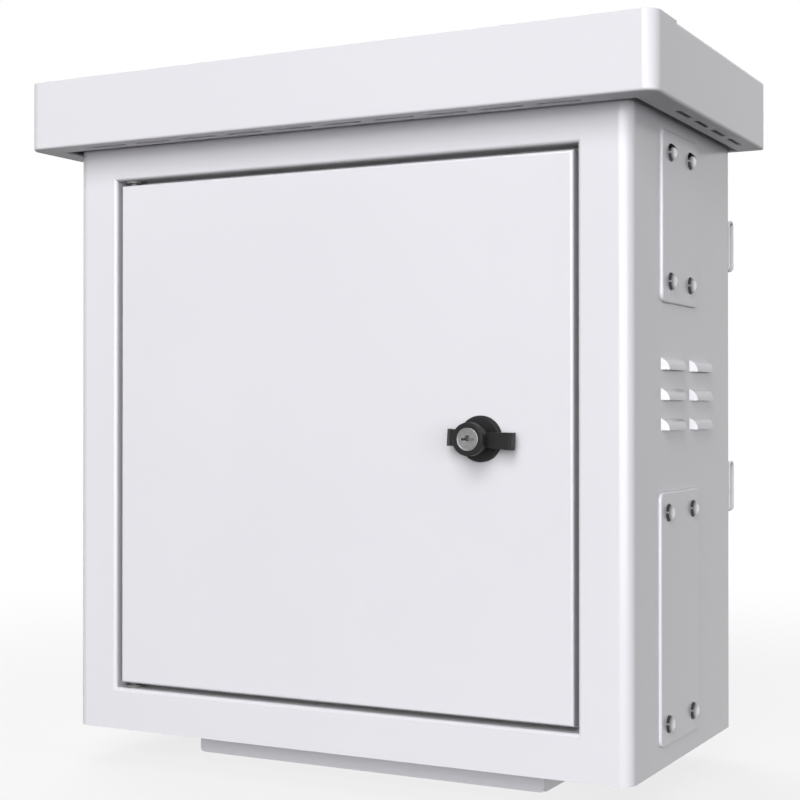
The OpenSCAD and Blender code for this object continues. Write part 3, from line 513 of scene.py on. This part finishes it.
def powder_coat():
    material, tree, shader = new_finish("powder_coat")
    tone = between(tree, drift(tree, 200 * MM), COAT_DARK, COAT_LIGHT)
    rubbed = effect(tree, rubbed_edge, Radius=0.6 * MM)["Mask"]
    tone = between(tree, calculate(tree, "MULTIPLY", rubbed, COAT_RUBBED), tone, COAT_EDGE)
    dust_and_shade = coat_dust_and_shade(tree)
    colour = between(tree, dust_and_shade, tone, COAT_DUST_AND_SHADE)
    dulled = calculate(tree, "MULTIPLY", dust_and_shade, DUST_ROUGHNESS)
    roughness = calculate(tree, "ADD", drift(tree, 40 * MM, *COAT_ROUGHNESS), dulled)
    dress(tree, shader, colour, roughness, grain(tree, PEEL_SIZE), PEEL_DEPTH)
    return material


finishes["painted_steel"] = powder_coat()
print("finish:", finishes["painted_steel"].name)

# %% [markdown]
# ### Moulded nylon
# The lock base and the wing knob are moulded in black, glass-filled nylon, and the hinge bushes
# in a grey grade that runs without oil. The mould leaves a fine matt grain, and hands polish the
# edges of the knob. Both are the same recipe with other tones.

# %% Moulded nylon
# Tones of each grade: its darkest, its lightest, at rubbed edges, and of the dirt and painted shade
# in its gaps
NYLON_TONES = {
    "black_nylon": (
        (0.010, 0.010, 0.011), (0.014, 0.014, 0.015),
        (0.028, 0.028, 0.030), (0.008, 0.008, 0.008),
    ),
    "grey_nylon": (
        (0.17, 0.17, 0.175), (0.20, 0.20, 0.205),
        (0.24, 0.24, 0.245), (0.15, 0.148, 0.145),
    ),
}
NYLON_SPECULAR = 0.22
NYLON_RUBBED = 0.5
NYLON_POLISH = 0.1
NYLON_ROUGHNESS = (0.42, 0.52)


def moulded_nylon(name):
    material, tree, shader = new_finish(name, specular=NYLON_SPECULAR)
    dark, light, edge, gap_dirt_and_shade = NYLON_TONES[name]
    tone = between(tree, drift(tree, 20 * MM), dark, light)
    rubbed = effect(tree, rubbed_edge, Radius=0.8 * MM)["Mask"]
    tone = between(tree, calculate(tree, "MULTIPLY", rubbed, NYLON_RUBBED), tone, edge)
    # Closed-in places take the last tone: dirt and painted shade, which sinks the bushes into the
    # door gap
    colour = between(tree, dust_and_shade_in_gaps(tree, 10 * MM), tone, gap_dirt_and_shade)
    polished = calculate(tree, "MULTIPLY", rubbed, NYLON_POLISH)
    roughness = calculate(tree, "SUBTRACT", drift(tree, 8 * MM, *NYLON_ROUGHNESS), polished)
    dress(tree, shader, colour, roughness, grain(tree, 0.3 * MM), 0.008 * MM)
    return material


finishes["lock_plastic"] = moulded_nylon("black_nylon")
finishes["bush_plastic"] = moulded_nylon("grey_nylon")
print("finishes:", finishes["lock_plastic"].name, finishes["bush_plastic"].name)

# %% [markdown]
# ### Zinc plate
# The mounting plate, the nuts and the studs are coated with zinc, which freezes in crystals that
# each catch the light their own way. A Voronoi texture has just such cells, and each cell's
# random colour sets how bright and how rough the crystal is.

# %% Zinc plate
SPANGLE_SIZE = 7 * MM
ZINC_DARK = (0.42, 0.43, 0.445)
ZINC_LIGHT = (0.52, 0.53, 0.55)
ZINC_EDGE = (0.66, 0.67, 0.68)
ZINC_DUST_AND_SHADE = (0.30, 0.29, 0.28)
ZINC_ROUGHNESS = (0.48, 0.62)
# The round that the shading gives to the edges of turned and threaded pieces
FASTENER_ROUND = 0.3 * MM


def zinc_plate():
    material, tree, shader = new_finish("zinc_plate", metallic=1.0)
    sockets = {"Vector": place_of(tree), "Scale": 1.0 / SPANGLE_SIZE}
    cells = add_node(tree, "ShaderNodeTexVoronoi", sockets).outputs["Color"]
    crystal = add_node(tree, "ShaderNodeSeparateColor", {"Color": cells}).outputs
    edges = effect(tree, rubbed_edge, Radius=FASTENER_ROUND)
    tone = between(tree, crystal["Red"], ZINC_DARK, ZINC_LIGHT)
    tone = between(tree, edges["Mask"], tone, ZINC_EDGE)
    # Corners and contacts take a darker tone: dust and painted shade
    colour = between(tree, dust_and_shade_in_gaps(tree, 4 * MM), tone, ZINC_DUST_AND_SHADE)
    roughness = remap(tree, crystal["Green"], 0.0, 1.0, *ZINC_ROUGHNESS)
    height = grain(tree, 0.5 * MM)
    dress(tree, shader, colour, roughness, height, 0.003 * MM, edges["Normal"])
    return material


finishes["zinc_steel"] = zinc_plate()
print("finish:", finishes["zinc_steel"].name)

# %% [markdown]
# ### Chrome with painted reflection
# The domed screws of the side covers look like small dark drops with a bright spot. They are
# chromed and polished. The dark ring and the bright spot are painted into the colour by the height
# above the cover: a painted dark reflection near the rim and a painted highlight on the crown.

# %% Chrome with painted reflection
PAINTED_DARK_REFLECTION = (0.05, 0.05, 0.053)
PAINTED_HIGHLIGHT = (0.65, 0.65, 0.66)
CHROME_ROUGHNESS = (0.12, 0.18)
# Shares of the dome's height: painted dark reflection to the first, painted highlight from the
# second
PAINTED_DARK_TO = 0.35
PAINTED_HIGHLIGHT_FROM = 0.9
PAINTED_HIGHLIGHT_RANGE = (0.85, 1.0)


def chrome_with_painted_reflection():
    material, tree, shader = new_finish("chrome_with_painted_reflection", metallic=1.0)
    cover_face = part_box("side_cover_upper")[1].x
    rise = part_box("cover_screws_upper")[1].x - cover_face
    height = coordinate(tree, place_of(tree), "X")
    dark_height, highlight_height = cover_face + PAINTED_DARK_TO * rise, cover_face + PAINTED_HIGHLIGHT_FROM * rise
    # Painted reflection: dark towards the rim, a painted highlight on the crown
    painted_highlight_share = remap(tree, height, dark_height, highlight_height, 0.0, 1.0)
    painted_highlight_share = calculate(tree, "MULTIPLY", painted_highlight_share, drift(tree, 3 * MM, *PAINTED_HIGHLIGHT_RANGE))
    colour = between(tree, painted_highlight_share, PAINTED_DARK_REFLECTION, PAINTED_HIGHLIGHT)
    roughness = drift(tree, 2 * MM, *CHROME_ROUGHNESS)
    dress(tree, shader, colour, roughness, grain(tree, 0.4 * MM), 0.001 * MM)
    return material


finishes["bright_steel"] = chrome_with_painted_reflection()
print("finish:", finishes["bright_steel"].name)

# %% [markdown]
# ### Satin nickel
# The face of the key plug is turned on a lathe and nickel plated. The grooves run round the lock
# axis, so the groove group is given each point's distance from that axis. The key slot is
# blackened with painted shade in its recess, and with grease and dust.

# %% Satin nickel
NICKEL_DARK = (0.22, 0.22, 0.225)
NICKEL_LIGHT = (0.27, 0.27, 0.275)
SLOT_GREASE_AND_SHADE = (0.01, 0.01, 0.01)
NICKEL_ROUGHNESS = (0.26, 0.34)
GROOVE_DEPTH = 0.002 * MM
# The lock axis runs along y, so only x and z count for the distance from it
ACROSS_LOCK = (1.0, 0.0, 1.0)


def satin_nickel():
    material, tree, shader = new_finish("satin_nickel", metallic=1.0)
    low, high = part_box("key_plug")
    away = vector_math(tree, "SUBTRACT", place_of(tree), (low + high) / 2)["Vector"]
    across = vector_math(tree, "MULTIPLY", away, ACROSS_LOCK)["Vector"]
    radius = vector_math(tree, "LENGTH", across)["Value"]
    tone = between(tree, drift(tree, 4 * MM), NICKEL_DARK, NICKEL_LIGHT)
    # The key slot and other recesses take painted shade, near black, with grease
    colour = between(tree, dust_and_shade_in_gaps(tree, 3 * MM), tone, SLOT_GREASE_AND_SHADE)
    roughness = drift(tree, 2 * MM, *NICKEL_ROUGHNESS)
    rings = effect(tree, turned_grooves, Distance=radius, Pitch=0.25 * MM)["Height"]
    smooth = effect(tree, rubbed_edge, Radius=0.6 * MM)["Normal"]
    dress(tree, shader, colour, roughness, rings, GROOVE_DEPTH, smooth)
    return material


finishes["cylinder_metal"] = satin_nickel()
print("finish:", finishes["cylinder_metal"].name)

# %% [markdown]
# ### Blackened steel
# The hinge pins are turned steel, blackened in hot oil. The same grooves now run along the pin,
# so they follow the height. Grease holds grey dust on them in the gap above and below the door.

# %% Blackened steel
PIN_DARK = (0.045, 0.045, 0.048)
PIN_LIGHT = (0.065, 0.065, 0.068)
PIN_EDGE = (0.20, 0.20, 0.21)
PIN_GREASE = (0.15, 0.148, 0.145)
PIN_ROUGHNESS = (0.34, 0.46)
GREASE_ROUGHNESS = 0.4


def blackened_steel():
    material, tree, shader = new_finish("blackened_steel", metallic=1.0)
    edges = effect(tree, rubbed_edge, Radius=FASTENER_ROUND)
    tone = between(tree, drift(tree, 5 * MM), PIN_DARK, PIN_LIGHT)
    tone = between(tree, edges["Mask"], tone, PIN_EDGE)
    grease = dust_and_shade_in_gaps(tree, 10 * MM)
    colour = between(tree, grease, tone, PIN_GREASE)
    dulled = calculate(tree, "MULTIPLY", grease, GREASE_ROUGHNESS)
    roughness = calculate(tree, "ADD", drift(tree, 3 * MM, *PIN_ROUGHNESS), dulled)
    height = coordinate(tree, place_of(tree), "Z")
    marks = effect(tree, turned_grooves, Distance=height, Pitch=0.3 * MM)["Height"]
    dress(tree, shader, colour, roughness, marks, GROOVE_DEPTH, edges["Normal"])
    return material


finishes["black_steel"] = blackened_steel()
print("finish:", finishes["black_steel"].name)

# %% [markdown]
# ### Brass
# The earth studs and their nuts are brass, which tarnishes in brown patches and stays bright on
# its edges.

# %% Brass
BRASS_BROWN = (0.46, 0.33, 0.17)
BRASS_PLAIN = (0.62, 0.46, 0.24)
BRASS_EDGE = (0.72, 0.56, 0.31)
BRASS_ROUGHNESS = (0.24, 0.38)


def stud_brass():
    material, tree, shader = new_finish("stud_brass", metallic=1.0)
    edges = effect(tree, rubbed_edge, Radius=FASTENER_ROUND)
    tone = between(tree, drift(tree, 6 * MM), BRASS_BROWN, BRASS_PLAIN)
    colour = between(tree, edges["Mask"], tone, BRASS_EDGE)
    roughness = drift(tree, 4 * MM, *BRASS_ROUGHNESS)
    height = grain(tree, 0.4 * MM)
    dress(tree, shader, colour, roughness, height, 0.002 * MM, edges["Normal"])
    return material


finishes["stud_brass"] = stud_brass()
print("finish:", finishes["stud_brass"].name)

# %% [markdown]
# ### Rubber
# The door seal and the grommets are black rubber with a dull skin. A thin grey bloom of wax comes
# to the surface in patches, so both the tone and the roughness drift.

# %% Rubber
RUBBER_BLACK = (0.011, 0.011, 0.012)
RUBBER_BLOOM = (0.024, 0.024, 0.025)
RUBBER_ROUGHNESS = (0.62, 0.80)
RUBBER_SPECULAR = 0.3


def seal_rubber():
    material, tree, shader = new_finish("seal_rubber", specular=RUBBER_SPECULAR)
    bloom = drift(tree, 30 * MM)
    colour = between(tree, bloom, RUBBER_BLACK, RUBBER_BLOOM)
    roughness = remap(tree, bloom, 0.0, 1.0, *RUBBER_ROUGHNESS)
    dress(tree, shader, colour, roughness, grain(tree, 0.6 * MM), 0.02 * MM)
    return material


finishes["rubber"] = seal_rubber()
print("finish:", finishes["rubber"].name)

# %% [markdown]
# ## Dressing the solids
# The record names a material slot for every node, so the finishes go on by slot. A new material
# on a CAD node changes neither its mesh nor its place.

# %% Dress the solids
for name, node in nodes.items():
    node.data.materials.clear()
    node.data.materials.append(finishes[slot_of[name]])
print("dressed:", len(nodes), "nodes with", len(finishes), "finishes")

# %% [markdown]
# ## Soft edges
# A knife-sharp edge gives away a model at once, because no real edge is without a small round
# that catches the light. Cut and coated sheet has about 0.4 mm, a moulded knob nearly twice that.
# The CAD mesh has to stay as it is, so the round comes from modifiers: Weld joins the split
# vertices, Decimate takes the triangle lines out of flat faces, Bevel rounds what is left, and
# Weighted Normal keeps flat faces flat.

# %% Soft edges
SHARPEST_ROUNDED = math.radians(35)
FLAT_ANGLE = math.radians(0.5)
WELD_REACH = 0.002 * MM
# Radius in millimetres and steps of the round for each kind of piece
ROUNDS = {
    "painted_steel": (0.4, 2),
    "lock_plastic": (0.7, 3),
    "bush_plastic": (0.3, 2),
    "cylinder_metal": (0.15, 2),
}
# The same for the few zinc plated pieces that keep their CAD solids
OWN_ROUNDS = {
    "mounting_plate": (0.4, 2),
    "lock_cam": (0.3, 2),
    "roof_sleeves": (0.3, 2),
    "bracket_rivets": (0.3, 2),
}


def round_edges(node, radius, steps):
    weld = node.modifiers.new("weld", "WELD")
    weld.merge_threshold = WELD_REACH
    flats = node.modifiers.new("flats", "DECIMATE")
    flats.decimate_type = "DISSOLVE"
    flats.angle_limit = FLAT_ANGLE
    bevel = node.modifiers.new("bevel", "BEVEL")
    bevel.width = radius
    bevel.segments = steps
    bevel.limit_method = "ANGLE"
    bevel.angle_limit = SHARPEST_ROUNDED
    node.modifiers.new("flat_shading", "WEIGHTED_NORMAL")


rounded_nodes = 0
for name, node in nodes.items():
    radius, steps = OWN_ROUNDS.get(name) or ROUNDS.get(slot_of[name], (0, 0))
    if steps:
        round_edges(node, radius * MM, steps)
        rounded_nodes += 1
print("rounded:", rounded_nodes, "nodes")

# %% [markdown]
# ## Pieces made from rings
# Nuts, studs, screws and grommets are all turned about an axis, so one way of building serves
# them all: a stack of rings of points, joined by quads. A ring's radius may change with the
# angle, which makes it a hexagon or a step of a thread.

# %% Ring helpers
def ring(steps, radius, height):
    """A closed ring of points about z; radius and height are numbers or depend on the angle."""
    points = []
    for i in range(steps):
        angle = 2 * math.pi * i / steps
        r = radius(angle) if callable(radius) else radius
        h = height(angle) if callable(height) else height
        points.append(Vector((r * math.cos(angle), r * math.sin(angle), h)))
    return points


def skin(mesh, rows, place, endless=False):
    """Joins rows of points by quads, at their place, and fills both ends unless endless."""
    made = [[mesh.verts.new(place @ point) for point in row] for row in rows]
    following = made[1:] + (made[:1] if endless else [])
    for row, above in zip(made, following):
        for i in range(len(row)):
            j = (i + 1) % len(row)
            mesh.faces.new((row[i], row[j], above[j], above[i]))
    if not endless:
        mesh.faces.new(list(reversed(made[0])))
        mesh.faces.new(made[-1])


def stand_at(point, direction):
    """The matrix that stands a shape made along z on a point, along a direction."""
    turn = direction.to_track_quat("Z", "Y").to_matrix().to_4x4()
    return Matrix.Translation(point) @ turn


print("points in a ring of 24:", len(ring(24, 1.0, 0.0)))

# %% [markdown]
# The sizes are measured on the CAD solids, so a piece always fits its place. A node may hold
# several solids, such as all nuts of one kind. Walking from vertex to vertex along the edges
# finds each solid, and its points then give its foot, its length and its radii.

# %% Measure helpers
SAME_SIZE = 0.02 * MM


def solids_of(name):
    """The points of each separate solid in a node."""
    mesh = bmesh.new()
    mesh.from_mesh(nodes[name].data)
    bmesh.ops.remove_doubles(mesh, verts=mesh.verts, dist=WELD_REACH)
    left = set(mesh.verts)
    solids = []
    for start in mesh.verts:
        if start not in left:
            continue
        left.remove(start)
        reached = [start]
        solids.append([])
        while reached:
            vertex = reached.pop()
            solids[-1].append(vertex.co.copy())
            for link in vertex.link_edges:
                other = link.other_vert(vertex)
                if other in left:
                    left.remove(other)
                    reached.append(other)
    mesh.free()
    return solids


def measure(points, direction):
    """A turned solid's foot, length, end radius, widest radius and the wide part's height."""
    middle = Vector((min(p[i] for p in points) + max(p[i] for p in points)) / 2 for i in range(3))
    heights = [(p - middle).dot(direction) for p in points]
    radii = [(p - middle - h * direction).length for p, h in zip(points, heights)]
    foot = min(heights)
    length = max(heights) - foot
    end = max(r for h, r in zip(heights, radii) if h - foot > length - SAME_SIZE)
    wide = max(radii)
    reach = max([h - foot for h, r in zip(heights, radii) if r > end + SAME_SIZE], default=0.0)
    return middle + foot * direction, length, end, wide, reach


plate_stud = measure(solids_of("plate_studs")[0], Vector((0, -1, 0)))
print("plate stud:", [round(x / MM, 2) for x in plate_stud[1:]], "mm")

# %% [markdown]
# Each finished mesh then takes the place of its CAD node: it rides on the node's body, takes the
# node's finish, and hides the node, which stays in the simulation. Edges sharper than 35 degrees
# stay crisp and all others are shaded smooth.

# %% Place helpers
def take_place(name, ending, mesh):
    """Makes a piece of the mesh and puts it in the place of a CAD node."""
    bmesh.ops.recalc_face_normals(mesh, faces=mesh.faces)
    for face in mesh.faces:
        face.smooth = True
    for link in mesh.edges:
        link.smooth = link.calc_face_angle(0.0) < SHARPEST_ROUNDED
    data = bpy.data.meshes.new(f"{name}_{ending}")
    mesh.to_mesh(data)
    mesh.free()
    data.materials.append(finishes[slot_of[name]])
    piece = bpy.data.objects.new(data.name, data)
    bpy.context.collection.objects.link(piece)
    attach(piece, nodes[name]["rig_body"])
    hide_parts(name)
    print(piece.name, "faces:", len(data.polygons))


def make_anew(name, ending, make, direction):
    """Builds each solid of a node again, along a direction, in one finer mesh."""
    mesh = bmesh.new()
    for points in solids_of(name):
        make(mesh, points, direction)
    take_place(name, ending, mesh)


UP, DOWN = Vector((0, 0, 1)), Vector((0, 0, -1))
INWARD, OUTWARD = Vector((0, 1, 0)), Vector((0, -1, 0))
LEFTWARD = Vector((-1, 0, 0))
print("solids in cover_nuts_upper:", len(solids_of("cover_nuts_upper")))

# %% [markdown]
# ## Hexagon nuts
# A nut is cut from hexagon bar, and both faces are chamfered on the lathe, which leaves a round
# washer face and a curved line on every flat. The curve needs no cutting here: a chamfer is a
# cone, so the height of the edge simply falls as the hexagon's radius grows towards its corners.

# %% Hexagon nuts
NUT_STEPS = 48
SIXTH = math.pi / 3
CORNER_STEP = SIXTH / 8
CHAMFER_SLOPE = math.tan(math.radians(30))
WASHER_SHARE = 0.95
COUNTERSINK = 0.4 * MM
NUT_AXES = {
    "roof_nuts": DOWN,
    "tray_nuts": UP,
    "cover_nuts_upper": LEFTWARD,
    "cover_nuts_lower": LEFTWARD,
    "plate_nuts": OUTWARD,
    "earth_nut": UP,
    "door_earth_nut": INWARD,
    "hinge_nuts": UP,
    "lock_nut": INWARD,
}


def hex_form(points, place, wide):
    """A hexagon's radius at each angle, its washer face's radius and the fall of its chamfer."""
    back = place.inverted()
    far = max((back @ p for p in points), key=lambda p: p.x * p.x + p.y * p.y)
    corner = round(math.atan2(far.y, far.x) / CORNER_STEP) * CORNER_STEP
    half_flats = wide * math.cos(SIXTH / 2)
    washer = half_flats * WASHER_SHARE

    def outline(angle):
        return half_flats / math.cos((angle - corner) % SIXTH - SIXTH / 2)

    def fall(angle):
        return (outline(angle) - washer) * CHAMFER_SLOPE

    return outline, washer, fall


def hex_nut(mesh, points, direction):
    foot, height, _, wide, _ = measure(points, direction)
    place = stand_at(foot, direction)
    outline, washer, fall = hex_form(points, place, wide)
    bore = min((place.inverted() @ p).xy.length for p in points)
    skin(mesh, [
        ring(NUT_STEPS, bore, COUNTERSINK),
        ring(NUT_STEPS, bore + COUNTERSINK, 0.0),
        ring(NUT_STEPS, washer, 0.0),
        ring(NUT_STEPS, outline, fall),
        ring(NUT_STEPS, outline, lambda angle: height - fall(angle)),
        ring(NUT_STEPS, washer, height),
        ring(NUT_STEPS, bore + COUNTERSINK, height),
        ring(NUT_STEPS, bore, height - COUNTERSINK),
    ], place, endless=True)


for name, direction in NUT_AXES.items():
    make_anew(name, "chamfered", hex_nut, direction)

# %% [markdown]
# ## Threads
# The studs and screws have metric threads. A thread could be a swept profile, but it is simpler
# to ask each point of a smooth shank how deep it lies: the depth is a wave that climbs one pitch
# in every turn. The rings stay level and only their radius changes with the angle, and at the tip
# the wave runs out.

# %% Threads
THREAD_STEPS = 24
ROWS_PER_PITCH = 6
PITCH_SHARE = 0.16
DEPTH_SHARE = 0.6
LONGEST_THREAD = 25 * MM
STUD_AXES = {
    "plate_studs": OUTWARD,
    "roof_studs": DOWN,
    "earth_stud": UP,
    "door_earth_stud": INWARD,
}


def threaded(radius, start, length):
    """Rings of a thread that rises out of a plain ring at a height, with a chamfered tip."""
    pitch = 2 * radius * PITCH_SHARE
    depth = pitch * DEPTH_SHARE
    tip = pitch / 2
    count = round((length - tip) / pitch * ROWS_PER_PITCH)
    rows = [ring(THREAD_STEPS, radius, start)]
    for k in range(1, count + 1):
        height = start + (length - tip) * k / count

        def climbing(angle):
            turn = height / pitch * 2 * math.pi - angle
            return radius - depth * (0.5 - 0.5 * math.cos(turn))

        rows.append(ring(THREAD_STEPS, climbing, height))
    rows.append(ring(THREAD_STEPS, radius - depth, start + length))
    return rows


def stud(mesh, points, direction):
    """A stud: a plain or wider foot, then a thread to its tip."""
    foot, length, radius, wide, reach = measure(points, direction)
    start = max(reach, length - LONGEST_THREAD)
    rows = []
    if reach:
        rows += [ring(THREAD_STEPS, wide, 0.0), ring(THREAD_STEPS, wide, reach)]
    if start > reach:
        rows.append(ring(THREAD_STEPS, radius, reach))
    skin(mesh, rows + threaded(radius, start, length - start), stand_at(foot, direction))


for name, direction in STUD_AXES.items():
    make_anew(name, "threaded", stud, direction)

# %% [markdown]
# ## Screws
# The tray hangs on hexagon screws. Their heads are half a nut: one chamfered face, and the shank
# grows out of the other. The side covers have domed heads that give a thief nothing to grip, and
# are turned from inside by the nut. A dome is a cap of a ball, whose radius follows from its
# width and its height.

# %% Tray screws and cover screws
DOME_ROWS = 12


def hex_screw(mesh, points, direction):
    foot, length, radius, wide, reach = measure(points, direction)
    place = stand_at(foot, direction)
    outline, washer, fall = hex_form(points, place, wide)
    rows = [
        ring(THREAD_STEPS, washer, 0.0),
        ring(THREAD_STEPS, outline, fall),
        ring(THREAD_STEPS, outline, reach),
    ]
    skin(mesh, rows + threaded(radius, reach, length - reach), place)


def dome_screw(mesh, points, direction):
    foot, length, radius, wide, reach = measure(points, direction)
    ball = (wide * wide + reach * reach) / (2 * reach)
    opening = math.asin(wide / ball)
    rows = []
    for k in range(1, DOME_ROWS + 1):
        angle = opening * k / DOME_ROWS
        rows.append(ring(THREAD_STEPS, ball * math.sin(angle), ball * (1 - math.cos(angle))))
    skin(mesh, rows + threaded(radius, reach, length - reach), stand_at(foot, direction))


make_anew("tray_screws", "threaded", hex_screw, UP)
make_anew("cover_screws_upper", "threaded", dome_screw, LEFTWARD)
make_anew("cover_screws_lower", "threaded", dome_screw, LEFTWARD)

# %% [markdown]
# ## Door seal
# A strip of rubber on the back of the door presses on the frame and keeps the rain out. It is
# extruded with a flat foot, which is glued down, and a round bulb, which is squeezed. Here the
# section is swept round a rounded rectangle: at every point of the path it is set square to the
# path, so it never twists.

# %% Door seal
SEAL_WIDTH = 12 * MM
SEAL_CORNER = 16 * MM
FOOT_HEIGHT = 1.3 * MM
BULB_SHARE = 0.8
BULB_STEPS = 14
CORNER_STEPS = 10


def seal_section(height):
    """Points of the section: across the strip, and up from its foot."""
    half = SEAL_WIDTH / 2
    bulb = height - FOOT_HEIGHT
    points = [(-half, 0.0), (half, 0.0), (half, FOOT_HEIGHT)]
    for k in range(BULB_STEPS + 1):
        angle = math.pi * k / BULB_STEPS
        across = half * BULB_SHARE * math.cos(angle)
        points.append((across, FOOT_HEIGHT + bulb * math.sin(angle)))
    return points + [(-half, FOOT_HEIGHT)]


def seal_path(width, height):
    """Points along the middle of the strip about its centre, each with the direction outward."""
    bend = SEAL_CORNER - SEAL_WIDTH / 2
    for quarter, (x, z) in enumerate(((1, 1), (-1, 1), (-1, -1), (1, -1))):
        centre = Vector((x * (width / 2 - SEAL_CORNER), 0.0, z * (height / 2 - SEAL_CORNER)))
        for k in range(CORNER_STEPS + 1):
            angle = math.pi / 2 * (quarter + k / CORNER_STEPS)
            outward = Vector((math.cos(angle), 0.0, math.sin(angle)))
            yield centre + bend * outward, outward


def door_seal():
    low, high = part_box("door_gasket")
    size = high - low
    middle = Vector(((low.x + high.x) / 2, low.y, (low.z + high.z) / 2))
    section = seal_section(size.y)
    rows = [
        [point + across * outward + rise * INWARD for across, rise in section]
        for point, outward in seal_path(size.x, size.z)
    ]
    mesh = bmesh.new()
    skin(mesh, rows, Matrix.Translation(middle), endless=True)
    take_place("door_gasket", "bulb", mesh)


door_seal()

# %% [markdown]
# ## Cable grommets
# The cables come in through four rubber grommets. Each has a groove that snaps over the sheet and
# a stepped skin, which is cut at the ring that fits the cable. The whole shape is one outline
# turned about the vertical axis, from the middle of the skin over the lips and back underneath.

# %% Cable grommets
GROMMET_STEPS = 48
LIP_HEIGHT = 3 * MM
LIP_ROUND = 1 * MM
LIP_REACH = 5 * MM
WALL = 3 * MM
SKIN_THICKNESS = 1.2 * MM
SKIN_STEPS = 4
STEP_RISE = 1.2 * MM
# In widths of a step: where the middle disc starts, and how much of each step is level
DISC_START = 0.1
LEVEL_SHARE = 0.92


def stepped_skin(radius, lift):
    """Outline of the skin from its middle to the wall: level rings, lower with each step."""
    outline = []
    width = radius / SKIN_STEPS
    for k in range(SKIN_STEPS):
        height = lift + STEP_RISE * (SKIN_STEPS - 1 - k)
        outline += [(width * max(k, DISC_START), height), (width * (k + LEVEL_SHARE), height)]
    return outline


def grommet(mesh, points, direction):
    foot, height, _, lip, _ = measure(points, direction)
    hole = lip - LIP_REACH
    inside = hole - WALL
    top = stepped_skin(inside, SKIN_THICKNESS) + [
        (inside, height - LIP_ROUND), (inside + LIP_ROUND, height), (lip - LIP_ROUND, height),
        (lip, height - LIP_ROUND), (lip, height - LIP_HEIGHT), (hole, height - LIP_HEIGHT),
    ]
    bottom = [
        (hole, LIP_HEIGHT), (lip, LIP_HEIGHT), (lip, LIP_ROUND), (lip - LIP_ROUND, 0.0),
    ] + list(reversed(stepped_skin(inside, 0.0)))
    rows = [ring(GROMMET_STEPS, radius, level) for radius, level in top + bottom]
    skin(mesh, rows, Matrix.Translation(foot))


make_anew("cable_grommets", "stepped", grommet, UP)
